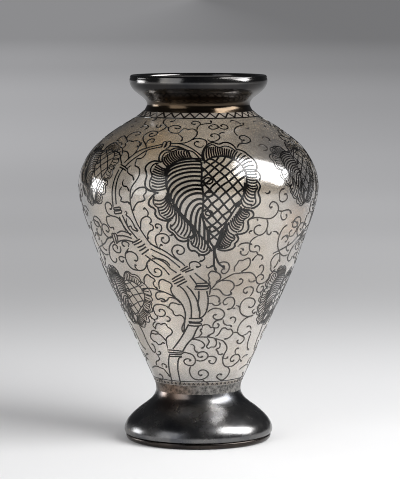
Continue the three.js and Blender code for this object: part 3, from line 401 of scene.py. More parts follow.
LOW_TENDRILS = [
    [(-55.6, 59), (-54, 53), (-53.5, 45.4), (-51.8, 40), (-49.3, 36.2), (-47.3, 35.8), (-45.6, 37.7),
     (-44.8, 40.8), (-46, 43), (-48, 43.5)],
    [(-46, 35.6), (-44.8, 33.8), (-42.3, 34.2), (-39.3, 35.8), (-40.2, 37.3), (-41.8, 36.9)],
    [(-44.5, 33.3), (-43.5, 30.8), (-46, 28.5), (-49.3, 27.7), (-51.4, 26.2), (-52.3, 23.8)],
    [(-66, 19.6), (-61.8, 21.2), (-56.4, 22.3), (-51, 22.7), (-47.3, 21.9), (-42.7, 21.2), (-40.6, 19.6),
     (-38.5, 17.3), (-36, 14.2)],
    [(-43.5, 23), (-42.7, 25.4), (-40.2, 26), (-37.3, 25), (-36.8, 23.5), (-38.9, 23.1)],
    [(-61, 11.5), (-57.7, 10), (-53.5, 10.4), (-49.8, 11.9), (-49.3, 14.2), (-51.8, 15.4), (-54.3, 15)],
    [(-28.9, 46.9), (-31.4, 50.8), (-34.3, 53.5), (-38.9, 53.2), (-42.7, 53.5), (-45.2, 51.5),
     (-45.6, 49.2), (-43.5, 46.5), (-40.6, 45.8), (-38.9, 43.8), (-36, 44.2), (-33.5, 45.8), (-31, 45.4)],
    [(-45.2, 51.7), (-43, 54.2), (-41, 56.2), (-37.7, 56.2), (-34.8, 54.2)],
    [(-29.5, 40.8), (-29.3, 46.9), (-28.5, 50), (-26, 52.3), (-22.7, 54.6), (-21.6, 56.9), (-22.7, 59.2),
     (-24.8, 60.8), (-26, 63.5), (-28.5, 63.5), (-30.2, 62.7), (-31.8, 63.5), (-34.3, 62.7), (-36, 60.4),
     (-37.3, 57.7)],
    [(-37.3, 58.5), (-38.5, 60.8), (-36.8, 63.5), (-35.2, 64.6), (-35.6, 66.9), (-37.3, 67.7),
     (-37.7, 69.6)],
    [(-35.2, 66.9), (-32.7, 67.7), (-31.6, 69.6), (-32.7, 71.5), (-33.5, 74.6), (-32.7, 78.5),
     (-30.6, 80.4), (-27.3, 81.2), (-23.5, 80.4), (-20.2, 78)],
    [(-31.4, 70.8), (-28.5, 70), (-25.6, 71.2), (-24.3, 73.5), (-25, 75.8), (-26.8, 76.9), (-28.7, 75.8),
     (-28.5, 74.2)],
    [(-24.3, 70.8), (-22.3, 70), (-21.4, 68), (-22.7, 66.2), (-24.8, 66.2)],
    [(-11.2, 81.5), (-13.5, 81.9), (-16.4, 83.1), (-18.9, 82.7), (-20.2, 80.4), (-20.8, 78.5),
     (-18.3, 75.8), (-18.1, 73.5), (-16.4, 71.5), (-13.5, 72.3), (-11.6, 71.2), (-10.4, 68.5),
     (-10.8, 65.4), (-12.7, 61.5), (-13.1, 58.5), (-11.6, 56.2)],
    [(-12.3, 83.1), (-14.3, 86.2), (-16.8, 87.7), (-19.3, 87.7), (-21, 85.4), (-23.5, 83.8), (-26, 84.6)],
    [(-6, 50), (-2.7, 51.5), (0.7, 52.3), (5.7, 52.3), (9.8, 52.2), (14, 51), (18.2, 49.6), (21.5, 48.5),
     (24, 46.2), (26.1, 43.8), (27.3, 40.8), (26.5, 37.7), (25.7, 36.2), (25, 32.7), (26.1, 28.5),
     (28.6, 25.4), (31.9, 24), (35.7, 23.8), (39.8, 24.2), (43.2, 25.8), (46.1, 27.7), (47.3, 30),
     (45.7, 32.7), (42.8, 34.2), (39, 34.6), (36.1, 33.5), (34.4, 31.2), (35.7, 28.8), (38.2, 28.5),
     (39.8, 30)],
    [(39, 35), (37.8, 36.9), (37.3, 38.8), (39, 40.4), (41.1, 39.6)],
    [(25.3, 32.7), (26.5, 31.9), (29, 31.7), (30.5, 32.7), (29.4, 33.5)],
    [(32.8, 23.8), (34.8, 22.7), (37.3, 20.8), (38, 18.1), (36.9, 15.4), (34.4, 13.1), (30.7, 11.7),
     (27.3, 12.3), (24.4, 13.5), (22.3, 15), (23, 16.9), (25.3, 17.7), (29, 16.5)],
    [(-5, 50), (-2.3, 50), (1.1, 49.2), (4, 47.3), (5.5, 45), (4.4, 42.7), (2.3, 42.3)],
    [(-7.3, 45.8), (-5.2, 45.4), (-3.5, 43.8), (-3.5, 40.8), (-1.8, 38.8), (-0.2, 38.5)],
    [(-2.7, 31.5), (0.7, 30.4), (4.8, 30.8), (8.2, 32.7), (9.4, 35), (8.2, 37.3), (5.3, 38.8), (1.9, 38.6),
     (-0.6, 36.9), (-0.2, 34.6), (2.3, 33.8), (4.4, 35)],
    [(9, 33.5), (11.5, 34.6), (14.8, 34.2), (17.8, 32.7), (18, 30), (16.1, 27.7), (13.6, 27.8),
     (11.5, 28.8), (10.7, 30.4), (12.8, 30.4)],
    [(-15.6, 36.5), (-13.5, 38.1), (-9.3, 37.3), (-6, 36.2), (-3.9, 33.8), (-2.9, 30.8), (-3.9, 28.1),
     (-6.4, 26.2), (-10.2, 26.2), (-13.5, 27.3), (-15, 29.6), (-13.5, 31.5), (-10.6, 32.3), (-7.7, 31.2),
     (-9.3, 30)],
    [(-7.3, 25.8), (-9.1, 23.8), (-9.8, 20.4), (-8.9, 16.9), (-6, 14.2), (-1, 12.8), (4, 13.1), (8.6, 14.6),
     (11.5, 17.3), (10.3, 20), (6.9, 21.9), (3.2, 21.9), (0.3, 20.4), (0.3, 18.1), (2.8, 16.9),
     (4.8, 17.8)],
    [(4.8, 12.7), (9.4, 10.8), (13.6, 8.5)],
    [(3.2, 60.8), (3.2, 62.7), (6.1, 63.7), (8.6, 62.7), (9.4, 60.9), (11.5, 61.2), (12.8, 59.2),
     (12.3, 56.2), (9.8, 54.6), (7.3, 52.7)],
    [(-0.2, 52.3), (1.9, 54.2), (2.8, 56.2), (1.5, 58.5), (3.2, 60.2)],
    [(11.5, 61.5), (11.3, 63.8), (13.2, 66.9), (15.7, 67.7), (18.2, 68.8)],
    [(11.5, 61.3), (14, 60.4), (15.9, 61.5), (15.7, 63.8), (14.2, 64.4)],
    [(6.3, 75), (8.6, 77.3), (11.5, 78.5), (15.3, 77.7), (18.2, 75), (19, 71.5), (17.3, 68.8), (13.6, 68.1),
     (11.1, 70), (11.1, 72.3), (13.6, 72.7)],
    [(7.3, 51.5), (9.4, 48.1), (8.6, 45.8), (7.3, 43.5), (9.4, 41.9), (11.5, 43.1), (14.8, 43.1),
     (16.1, 45.4), (15.7, 48.5), (14, 50.8)],
    [(17.8, 47.7), (19.6, 45.4), (19.4, 42.3), (16.5, 40.8), (18.6, 38.5), (19.4, 36.5), (21.9, 35.8),
     (24.4, 36.5)],
    [(14, 52.7), (16.1, 53.8), (17.8, 56.9), (19, 59.6), (21.5, 60.2), (24, 58.5), (26.5, 58.8),
     (28.6, 56.9), (29.6, 54.8), (28.2, 52.3), (25.7, 50.4), (22.3, 50)],
    [(29.6, 55), (31.9, 55.4), (34, 55), (36.5, 53.1), (39.8, 51.5), (42.8, 50), (44, 48.1), (42.3, 45.4),
     (39.8, 44.5), (37.3, 45.4), (36.1, 47.3), (37.8, 48.1)],
    [(34, 55.4), (33.4, 58.5), (34, 62.3), (35.7, 65.4), (38.2, 67.7), (41.1, 68.8), (44.8, 69.8)],
    [(40.7, 51.9), (45.3, 53.1), (47.3, 55), (50.3, 53.1)],
    [(48.6, 56.2), (46.5, 59.2), (44, 60), (41.9, 59.2)],
    [(26.5, 80.4), (29, 79.2), (30.3, 76.9), (31.5, 73.8), (34, 71.2), (37.3, 69.6), (40.7, 69.1),
     (44.8, 70)],
    [(30.5, 76.2), (30, 80.8), (31.1, 84.2), (33.6, 86.2), (37.3, 86), (40.7, 84.2), (42.3, 81.2),
     (41.5, 78.1), (39, 77.3), (37.1, 78.5)],
    [(20.3, 82.3), (17.8, 81.5), (16.7, 83.8), (17.8, 86.5), (20.3, 88.1), (22.8, 87.7), (24.8, 84.6),
     (25, 81.2), (23.6, 78.1), (20.3, 76.9)],
    [(24, 78.1), (26.5, 77.7)],
    [(18.6, 68.1), (19.8, 64.6), (22.3, 62.7), (25.7, 62.3), (27.3, 60.4)],
    [(28.2, 63.8), (29.2, 66.9), (27.8, 69.2), (25.7, 69.8), (24, 68.1)],
    [(50.3, 53), (50.3, 46.9), (51.5, 42.3), (54, 38.8), (57.8, 36.9)],
    [(46.9, 30), (49.8, 28.5), (52.3, 26.9)],
    [(50.7, 30.4), (54, 32.3), (59, 32.7)],
]

# The large heart leaf: its two sides from the cleft to the tip, its middle rib and its stalk.
HEART_LEFT = [(2, 199), (-1, 202.4), (-4.5, 203.6), (-8, 202.6), (-11, 200), (-13.6, 196), (-15, 191),
              (-15.2, 185), (-14.6, 179), (-13.4, 174), (-12, 169), (-10.4, 164), (-8.6, 159.5),
              (-6.6, 155.5), (-4.2, 151.6), (-2, 148), (0.4, 142.4), (3.1, 138), (4.6, 134.5), (5.8, 131.6),
              (7.3, 128.4)]
HEART_RIGHT = [(2.6, 199), (4.6, 202), (7, 204), (10, 205), (13.5, 205), (16.5, 203.4), (19.4, 201),
               (22, 196), (23.2, 190), (23, 184), (22, 178), (20.4, 171), (18, 165), (15.8, 159),
               (13.6, 153), (12, 146), (10.6, 140.6), (9.8, 136), (9, 132), (8.6, 128)]
MIDRIB = [(1.5, 200), (1.6, 190), (1.4, 184), (2, 178), (2.3, 172), (2.2, 166), (1.9, 161), (2.5, 153),
          (3.6, 148.6), (5.2, 143.5), (5.5, 138.5), (6.2, 135.4), (7.5, 132.6), (8.3, 128)]
STALK = [
    [(7.8, 129), (8.4, 124.7), (8.5, 120.4), (8.8, 116), (10, 112)],
    [(8.6, 129), (9.3, 124.6), (10.4, 120.4), (12, 117), (15, 114.6)],
]
# Small loops on the middle rib: the middle of each and its two half widths.
MIDRIB_LOOPS = [(4.6, 184.9, 2.1, 2.4), (4.8, 174.6, 2, 1.8), (5, 160, 1.7, 1.9), (7.1, 147, 1.6, 2.3)]
# Heights at which the stripes of the left half leave the middle rib.
STRIPE_STARTS = [202.8, 200.5, 197.8, 194.7, 191.6, 188.2, 184.7, 181.2, 178.2, 175, 170.5, 167, 163.5, 159,
                 153, 147]
# Lattice of its right half: the lines that fall to the right, then those that rise.
LATTICE = [
    [(4.5, 202.5), (7.1, 202.3), (10, 199), (12.4, 196.1), (15, 192.8), (16.9, 188.7), (18.6, 184.8),
     (20.2, 181), (21.8, 177.6)],
    [(2, 202), (3.8, 200.4), (5.8, 198), (7.9, 195.2), (10.3, 191.8), (12.6, 188.2), (14.3, 184.2),
     (16.1, 180.3), (18.4, 175.9), (20.6, 171.5)],
    [(1.6, 195.6), (2.9, 194), (4.7, 190.7), (7.1, 186.5), (8.5, 183.4), (10.3, 180.2), (12.7, 176.2),
     (14.9, 171.6), (17.1, 166.4), (18, 164.4)],
    [(1.6, 185.6), (3.2, 181.7), (5.2, 178.4), (7.1, 175), (9.5, 171.5), (11.8, 166.8), (14.5, 161.6),
     (16, 158.8)],
    [(1.8, 175.8), (4.4, 171.5), (6.2, 167.3), (9.1, 162.3), (11.5, 157.8), (13.8, 153.6)],
    [(2, 167.4), (4.1, 163.7), (6.5, 158.4), (9.1, 153.4), (11.6, 149.6)],
    [(1.9, 160.4), (2.8, 157), (4.6, 153), (6.6, 150), (8.9, 146.4), (10.8, 143)],
    [(3, 149.6), (5.2, 144.6), (7.8, 140.4), (9.6, 138)],
    [(1.6, 191.8), (2.9, 193.8), (4.8, 196.3), (6.7, 198.7), (8.9, 201.2), (10.5, 204.6)],
    [(1.5, 186.6), (4.7, 190.4), (6.5, 193.3), (7.9, 195.3), (10, 198), (12.2, 200.4), (14, 204.4)],
    [(1.6, 180.6), (3.6, 183), (7.3, 188.2), (9.1, 190.8), (10.4, 192.2), (12.2, 194.8), (14.6, 197.8),
     (17.6, 202)],
    [(2.1, 173.6), (3.6, 176), (5.2, 178.4), (6.7, 181.3), (8.5, 183.5), (10.6, 186.3), (12.7, 188.5),
     (15, 191.4), (17.8, 194.2), (20.8, 197.6)],
    [(2.2, 168), (4.3, 171.6), (7.1, 175), (8.8, 178.3), (10.3, 180.2), (12.3, 182.6), (14.2, 184.3),
     (16.5, 187.2), (19.4, 190.4), (22.6, 193.4)],
    [(2, 161.2), (4.1, 163.7), (6.2, 167.3), (9.5, 171.5), (11.1, 174.2), (12.7, 176.2), (16, 180.4),
     (18.6, 184.2), (22.8, 188.4)],
    [(3.2, 154.4), (4.6, 155.8), (6.5, 158.4), (9.1, 162.3), (11.8, 166.8), (14.9, 171.5), (18.4, 175.9),
     (21.6, 179.4)],
    [(4, 148), (6.6, 150), (9.1, 153.4), (11.5, 157.8), (14.5, 161.6), (17.1, 166.3), (19.4, 169)],
    [(5.4, 143.4), (8.9, 146.6), (11.6, 150.2), (13.8, 153.6), (15.8, 158.6)],
    [(5.6, 138), (7.8, 140.3), (10.4, 143.8), (11.9, 147.6)],
]
# Lobes round it: how many ribs fan in each, and its first, middle and last rib, from the leaf outwards.
LOBES = [
    (12, [(-15.1, 195.5), (-16.8, 197.8), (-18, 200.2), (-18.5, 202.6)],
     [(-10.3, 201.4), (-12.3, 204), (-13.5, 206.7), (-13.7, 209.4)],
     [(-5.4, 204.6), (-5.9, 206.4), (-6.2, 208), (-6.2, 209.8)]),
    (10, [(-15.3, 194.1), (-17.6, 194.5), (-19.2, 195.9), (-21.2, 197.6)],
     [(-15.3, 188.1), (-17.5, 187.2), (-19.7, 187.4), (-22.6, 189)],
     [(-15, 178.8), (-17.2, 177.7), (-19.3, 177.2), (-21.6, 178.2)]),
    (8, [(-14.6, 174), (-15.8, 171), (-18, 169.4), (-20.9, 169.8)],
     [(-13.3, 169.6), (-14.3, 164.6), (-15.9, 161.6), (-18.3, 160.4)],
     [(-11, 165.4), (-11.1, 160), (-12, 157), (-13.8, 155.2)]),
    (6, [(-10.5, 160.6), (-10.6, 155.2), (-11.3, 152), (-13.2, 149)],
     [(-7.5, 157), (-7.3, 151), (-8, 147.2), (-9.7, 143)],
     [(-4, 150.8), (-3.8, 146.5), (-4.3, 143), (-5.6, 140)]),
    (6, [(-2, 143.6), (-1.9, 139.6), (-2.2, 137), (-3.1, 134.2)],
     [(0.7, 142), (1.2, 137.6), (1.1, 134), (0.5, 131)],
     [(4.4, 137), (4.9, 134), (4.9, 131.6), (4.3, 128.8)]),
    (15, [(2.9, 202.6), (2.7, 206), (3, 210), (3.9, 214.4)],
     [(11.9, 204.8), (11.7, 208), (11.7, 211), (12, 213.6)],
     [(18.4, 202), (18.8, 204.6), (20.2, 207.4), (21.4, 209.4)]),
    (6, [(19.4, 201.6), (20.6, 204), (21.8, 206), (23.4, 207.6)],
     [(21.6, 197.6), (23.6, 199.6), (25.6, 201), (27.4, 201.6)],
     [(22.8, 193), (24.8, 193.4), (26.6, 193.4), (28.6, 193)]),
    (5, [(23.2, 191.4), (25, 191.4), (27, 191.6), (28.8, 191.8)],
     [(23.2, 187.6), (25, 187), (27, 186.8), (28.8, 187.2)],
     [(23, 184), (24.8, 182.8), (26.8, 182.4), (28.6, 183)]),
    (8, [(22.8, 182.4), (24.6, 180.4), (26.6, 180), (28.3, 180.8)],
     [(22, 177.4), (23.2, 174.4), (24.8, 172.6), (27, 172.2)],
     [(20, 169.6), (20.9, 166), (22.8, 163.9), (25, 163.4)]),
    (10, [(19.8, 165), (21.2, 162), (22.8, 160.2), (24.4, 159.5)],
     [(18, 159.6), (18.9, 155.2), (20.3, 153), (22.2, 152.4)],
     [(14.6, 152.6), (15.7, 148.2), (17.4, 145.3), (19.6, 143.9)]),
    (9, [(14, 148.6), (15.2, 144.2), (16.8, 142.4), (18.4, 141.2)],
     [(11.7, 143.4), (12.5, 138), (14.2, 135), (16.2, 133.6)],
     [(9.9, 136), (10, 133.4), (10.5, 132), (11.3, 131.2)]),
]
# Their edges: a heavy outer line, and a thinner one inside it.
LOBE_EDGES = [
    [(-19.6, 199.4), (-20.3, 202), (-20.6, 204.8), (-20.3, 207.5), (-19.4, 209.7), (-18.2, 210.9),
     (-16.8, 211), (-15.5, 210.6), (-14.5, 211.6), (-13.3, 212.8), (-11.2, 213.1), (-8.8, 212.8),
     (-7.3, 211.6), (-6, 210.4), (-5, 208.4), (-4.6, 206.2), (-3.6, 203.8)],
    [(-18.6, 199.6), (-20.6, 200.4), (-23, 200.4), (-25.4, 198.4), (-26.5, 195.8), (-26.5, 193.4),
     (-25.6, 190.8), (-25.1, 188), (-25.4, 185), (-25.5, 182.4), (-24.9, 179.2), (-23.4, 177.2),
     (-20.9, 176.2), (-18.6, 175)],
    [(-19.6, 175.8), (-21.6, 172.6), (-23.2, 169.4), (-23.6, 166.4), (-22.8, 164.7), (-21, 163.2),
     (-20.4, 161.4), (-20.8, 158.8), (-20.2, 156.6), (-19, 155), (-17.4, 154), (-15.8, 153.5),
     (-14.2, 154.1)],
    [(-13, 154.6), (-14.6, 152.6), (-15.3, 149.6), (-15.2, 146.8), (-14.3, 144.8), (-12.9, 143.4),
     (-11.9, 141.3), (-11.1, 139.1), (-10.1, 137.6), (-8.7, 136.8), (-7.1, 136.6), (-5.7, 137.4),
     (-4.7, 138.8)],
    [(-4.8, 138), (-5.4, 134.4), (-5.2, 131.8), (-4.4, 129.6), (-3.4, 128.7), (-2.2, 128.9), (-1.1, 128.1),
     (0.1, 126.4), (1.5, 125.4), (3, 125.3), (4.6, 126.2), (5.8, 128), (6.4, 130.4)],
    [(2.2, 201.4), (2, 205), (2.2, 208.8), (3.2, 212.6), (4.5, 215.8), (6, 218), (7.6, 219.1), (9.3, 219.1),
     (10.7, 218), (11.9, 217.4), (13.3, 218.1), (14.9, 219.2), (16.7, 219.3), (18.5, 218.3), (19.9, 216.3),
     (20.8, 213.4), (21.4, 210.4)],
    [(21, 211.4), (23.4, 210.6), (25.6, 208.4), (27, 205.4), (28.6, 203), (29.8, 199.4), (30, 195.6),
     (29.2, 192.6), (30.2, 190), (30.6, 187), (29.6, 184.4)],
    [(28, 184.4), (29.2, 182.6), (29.8, 180.2), (29.3, 177.6), (28.6, 175.5), (29, 173.3), (29.7, 170.6),
     (29.8, 167.6), (28.8, 165.2), (27.2, 163.6), (25.3, 163)],
    [(21.4, 163.4), (22.4, 162.2), (23.9, 161.8), (25.4, 161.2), (26.7, 159.6), (27.1, 157.6),
     (26.7, 155.7), (25.5, 154.6), (24.6, 153.2), (24.7, 151.2), (25.3, 148.6), (25.3, 146), (24.4, 143.8),
     (22.8, 142.6), (21, 142.2), (19.4, 142.6)],
    [(18.8, 142.2), (20, 140.6), (20.7, 138.4), (20.2, 136), (19.1, 134.4), (19.3, 132.2), (18.4, 130.4),
     (16.5, 129.2), (14.2, 128.7), (11.9, 129.1), (10, 130.4)],
]
LOBE_INNER_EDGES = [
    [(-18.4, 200), (-18.8, 203), (-18.6, 206), (-17.4, 208.4), (-15.6, 209.1), (-14.1, 209.3),
     (-12.9, 210.2), (-11.3, 211.4), (-9.6, 211.8), (-7.8, 211.2), (-6.2, 209.8)],
    [(-20.1, 198.7), (-21.6, 198.4), (-22.8, 197.2), (-23.5, 195), (-23.6, 192.6), (-22.9, 190.2),
     (-22.4, 188), (-22.9, 186), (-23.2, 182.9), (-22.8, 179.7), (-21.6, 177.8), (-20, 176.8)],
    [(-20.6, 172.6), (-21.2, 169.6), (-21, 166.9), (-20.3, 165.2), (-19.1, 163.8), (-18.8, 160.8),
     (-18.3, 158.2), (-16.8, 156), (-15.2, 154.9), (-13.6, 155), (-12.1, 155.8)],
    [(-13.2, 150.6), (-13.8, 148.8), (-13.2, 146.6), (-11.9, 145.4), (-11, 143.4), (-10, 141.4),
     (-8.6, 139.9), (-6.9, 139.2), (-5.3, 139.8), (-4.3, 141.4)],
    [(-3.8, 137.4), (-3.5, 134.5), (-2.6, 132.8), (-1.4, 131.8), (-0.4, 131.2), (0.2, 129.7), (1.3, 128.2),
     (2.6, 127.6), (3.9, 128.4), (5, 130)],
    [(3.6, 212.6), (4.6, 214.2), (5.9, 215.6), (7.4, 216.8), (8.8, 216.6), (10.1, 214.8), (11.4, 213.9),
     (12.8, 214), (14.3, 215), (16.2, 215), (17.9, 213.6), (19.4, 211.4), (20.6, 209.4)],
    [(27.6, 181.4), (28.3, 180), (28.2, 178), (26.9, 176), (27, 173.2), (26.9, 172), (27.4, 169.8),
     (27.5, 167.6), (26.7, 165.8), (25, 164.8)],
    [(22.8, 161), (24.2, 159.9), (24.8, 158.2), (24.3, 156.1), (22.8, 154.8), (22.1, 153), (22.4, 151),
     (22.3, 148.6), (22.2, 146.7), (21.4, 145.1), (20, 144.2)],
    [(17.8, 141), (18.7, 139.4), (18.5, 137.7), (17.2, 136.2), (16.8, 134.4), (16.5, 132.8), (15.4, 131.6),
     (14, 130.7), (12.2, 130.6), (10.6, 131.6)],
]
# Dark corners between them.
FILLS = [
    [(-14.5, 197), (-15.3, 193), (-15.4, 189)],
    [(-14.3, 176), (-13.4, 172.5), (-12.3, 169)],
    [(-11, 166.4), (-9.4, 161.4), (-7, 156.4), (-4.6, 152.2), (-2.6, 148.4), (-1.4, 145)],
    [(-2.8, 147), (-2, 142), (-4.3, 139)],
    [(22.4, 183), (22, 179), (21.4, 175.6)],
    [(19.4, 168), (18.4, 164.6)],
    [(13.9, 151.6), (13.1, 147)],
    [(8.8, 133.4), (9.4, 130.6)],
]


def smooth(points, in_space):
    """A smooth curve through all the points, with knots spaced by the root of their distance in space."""
    p = np.array(points, dtype=float)
    gaps = np.sqrt(np.linalg.norm(np.diff(in_space(p), axis=0), axis=1))
    p = np.vstack([2 * p[0] - p[1], p, 2 * p[-1] - p[-2]])
    gaps = np.concatenate([gaps[:1], gaps, gaps[-1:]])
    knots = np.concatenate([[0], np.cumsum(gaps)])
    rows = []
    for i in range(1, len(p) - 2):
        t0, t1, t2, t3 = knots[i - 1:i + 3]
        t = np.linspace(t1, t2, SPAN_STEPS, endpoint=False)[:, None]
        a1 = ((t1 - t) * p[i - 1] + (t - t0) * p[i]) / (t1 - t0)
        a2 = ((t2 - t) * p[i] + (t - t1) * p[i + 1]) / (t2 - t1)
        a3 = ((t3 - t) * p[i + 1] + (t - t2) * p[i + 2]) / (t3 - t2)
        b1 = ((t2 - t) * a1 + (t - t0) * a2) / (t2 - t0)
        b2 = ((t3 - t) * a2 + (t - t1) * a3) / (t3 - t1)
        rows.append(((t2 - t) * b1 + (t - t1) * b2) / (t2 - t1))
    rows.append(p[-2:-1])
    return np.vstack(rows)


def lengths(line, in_space):
    steps = np.linalg.norm(np.diff(in_space(line), axis=0), axis=1)
    return np.concatenate([[0], np.cumsum(steps)])


def evenly(line, in_space, step):
    """The same line with points at even steps along it."""
    along = lengths(line, in_space)
    at = np.linspace(0, along[-1], max(FEWEST_POINTS, round(along[-1] / step) + 1))
    return np.stack([np.interp(at, along, column) for column in line.T], axis=1)


def flat(points):
    return points


def outline(points, step=OUTLINE_STEP):
    return evenly(smooth(points, flat), flat, step)


def direction(line):
    """The way that a line runs at each of its points."""
    ahead = np.gradient(line, axis=0)
    return ahead / np.linalg.norm(ahead, axis=1)[:, None]


def offset(line, distance):
    """An outline moved inwards, to the left of a line that rises on the outside."""
    ahead = direction(line)
    return line + distance * np.stack([-ahead[:, 1], ahead[:, 0]], axis=1)


def radius_at(line, z):
    return float(np.interp(z, line[:, 1], line[:, 0]))


def part_between(line, low, high):
    """A rising outline cut at two heights."""
    inside = line[(line[:, 1] > low + GAP) & (line[:, 1] < high - GAP)]
    return np.vstack([[radius_at(line, low), low], inside, [radius_at(line, high), high]])


def add_mesh(name, corners, faces, materials, slots_of_faces=None):
    mesh = bpy.data.meshes.new(name)
    mesh.from_pydata(np.asarray(corners) * MM, [], faces)
    for material in materials:
        mesh.materials.append(material)
    if slots_of_faces is not None:
        mesh.polygons.foreach_set("material_index", slots_of_faces)
    mesh.update()
    piece = bpy.data.objects.new(name, mesh)
    bpy.context.scene.collection.objects.link(piece)
    return piece


def settle(piece, cad_node):
    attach(piece, "root")
    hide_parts(cad_node)


def turned(name, profile, material, cad_node):
    """A piece turned about the axis from a closed profile that runs up its outside and down its inside."""
    angles = np.arange(ROUND_STEPS) * 2 * math.pi / ROUND_STEPS
    corners = []
    rings = []
    for r, z in np.asarray(profile, dtype=float):
        first = len(corners)
        if r < GAP / 2:
            corners.append((0, 0, z))
            rings.append([first] * ROUND_STEPS)
        else:
            corners.extend(zip(r * np.cos(angles), r * np.sin(angles), np.full(ROUND_STEPS, z)))
            rings.append(list(range(first, first + ROUND_STEPS)))
    faces = []
    for i, low in enumerate(rings):
        high = rings[(i + 1) % len(rings)]
        if low[0] == low[1] and high[0] == high[1]:
            continue
        for j in range(ROUND_STEPS):
            k = (j + 1) % ROUND_STEPS
            faces.append(list(dict.fromkeys([low[j], low[k], high[k], high[j]])))
    piece = add_mesh(name, corners, faces, [material])
    piece.data.shade_smooth()
    piece.data.set_sharp_from_angle(angle=SHARP_EDGE)
    settle(piece, cad_node)


# The sheet that the vine is drawn on wraps the glass, with millimetres up it from the waist.
sheet = smooth(BODY, flat)
sheet_up = lengths(sheet, flat)
sheet_ahead = direction(sheet)


def on_glass(places, lift=0):
    degrees, up = places[:, 0], places[:, 1]
    r = np.interp(up, sheet_up, sheet[:, 0]) + lift * np.interp(up, sheet_up, sheet_ahead[:, 1])
    z = np.interp(up, sheet_up, sheet[:, 1]) - lift * np.interp(up, sheet_up, sheet_ahead[:, 0])
    angle = np.radians(degrees)
    return np.stack([r * np.sin(angle), -r * np.cos(angle), z], axis=1)


def per_degree(up):
    """Millimetres along the glass in one degree."""
    return np.interp(up, sheet_up, sheet[:, 0]) * math.pi / 180


def rotated(x, y, angle):
    return x * math.cos(angle) - y * math.sin(angle), x * math.sin(angle) + y * math.cos(angle)


class Lines:
    """Raised lines on the glass, gathered into one mesh."""

    def __init__(self):
        self.corners = []
        self.faces = []
        self.looks = []
        self.count = 0

    def draw(self, places, width, look=DARK, rolled=False, curved=True, height=LINE_HEIGHT):
        line = smooth(places, on_glass) if curved else np.array(places, dtype=float)
        line = evenly(line, on_glass, LINE_STEP)
        wide = np.full(len(line), float(width))
        if rolled:
            along = lengths(line, on_glass)
            left = along[-1] - along
            wide *= np.clip(START_SHARE + (1 - START_SHARE) * along / START_TAPER, 0, 1)
            wide *= 1 + BUD * np.sin(math.pi * np.clip(left / BUD_LENGTH, 0, 1))
            wide *= np.clip(END_SHARE + left / width, 0, 1)
        scale = per_degree(line[:, 1])
        ahead = np.stack([np.gradient(line[:, 0]) * scale, np.gradient(line[:, 1])], axis=1)
        ahead /= np.linalg.norm(ahead, axis=1)[:, None]
        for across, out in SECTION:
            shift = across * wide / 2
            moved = line + np.stack([-ahead[:, 1] * shift / scale, ahead[:, 0] * shift], axis=1)
            self.corners.append(on_glass(moved, LINE_LIFT + out * height))
        rows = len(line)
        sides = len(SECTION)
        starts = [self.count + k * rows for k in range(sides)]
        here = np.arange(rows - 1)
        for k, a in enumerate(starts):
            b = starts[(k + 1) % sides]
            quads = np.stack([a + here, b + here, b + here + 1, a + here + 1], axis=1)
            self.faces.extend(quads.tolist())
            self.looks.extend([UNDERSIDE if k == sides - 1 else look] * len(quads))
        self.faces.append([starts[0], *starts[:0:-1]])
        self.faces.append([start + rows - 1 for start in starts])
        self.looks.extend([look, look])
        self.count += rows * sides

    def draw_all(self, lines, width, look=DARK, rolled=False):
        for line in lines:
            self.draw(line, width, look, rolled)

    def piece(self, name, cad_node, turn=0):
        corners = np.vstack(self.corners)
        x, y = rotated(corners[:, 0], corners[:, 1], math.radians(turn))
        corners = np.stack([x, y, corners[:, 2]], axis=1)
        settle(add_mesh(name, corners, self.faces, LOOKS, self.looks), cad_node)


def ellipse(middle, wide, tall, start=0, turn=2 * math.pi):
    angles = start + np.linspace(0, turn, ELLIPSE_POINTS)
    return np.stack([middle[0] + wide * np.cos(angles), middle[1] + tall * np.sin(angles)], axis=1)


left_side = smooth(HEART_LEFT, on_glass)
midrib = smooth(MIDRIB, on_glass)
left_fall = left_side[left_side[:, 1].argmax():]


def stripe(start):
    """A line that leaves the midrib, rises a little and falls to the left side of the leaf."""
    drop = np.interp(start, *STRIPE_DROPS)
    foot = start - drop
    edge = np.interp(foot, left_fall[::-1, 1], left_fall[::-1, 0])
    root = np.interp(start, midrib[::-1, 1], midrib[::-1, 0])
    reach = (root - edge) / (1 + math.cos(STRIPE_START))
    middle = (edge + reach, foot)
    return ellipse(middle, reach, drop / math.sin(STRIPE_START), STRIPE_START, math.pi - STRIPE_START)


def fan(count, first, middle, last):
    """Ribs that turn evenly from the first over the middle one to the last."""
    first, middle, last = (np.array(rib, dtype=float) for rib in (first, middle, last))
    return [first * (1 - share) * (1 - 2 * share) + middle * 4 * share * (1 - share) +
            last * share * (2 * share - 1) for share in np.linspace(0, 1, count)]


def leaf(place=flat, small=False):
    """A heart leaf with a striped left half, a latticed right half and ribbed lobes round it."""
    lines = Lines()
    narrow = SMALL_NARROWER if small else 1

    def draw_all(group, width):
        lines.draw_all([place(np.array(points, dtype=float)) for points in group], width * narrow)

    draw_all([HEART_LEFT, HEART_RIGHT, MIDRIB], LEAF_WIDTH)
    draw_all([stripe(start) for start in STRIPE_STARTS], STRIPE_WIDTH)
    draw_all(LATTICE[::SMALL_LATTICE_STEP] if small else LATTICE, LATTICE_WIDTH)
    draw_all([ellipse((x, y), wide, tall) for x, y, wide, tall in MIDRIB_LOOPS], RIB_WIDTH)
    draw_all(LOBE_EDGES, LEAF_WIDTH)
    draw_all(LOBE_INNER_EDGES, RIB_WIDTH)
    for count, *ribs in LOBES:
        draw_all(fan(max(SMALL_FEWEST_RIBS, count * 2 // 3) if small else count, *ribs), RIB_WIDTH)
    if not small:
        draw_all(FILLS, FILL_WIDTH)
    return lines


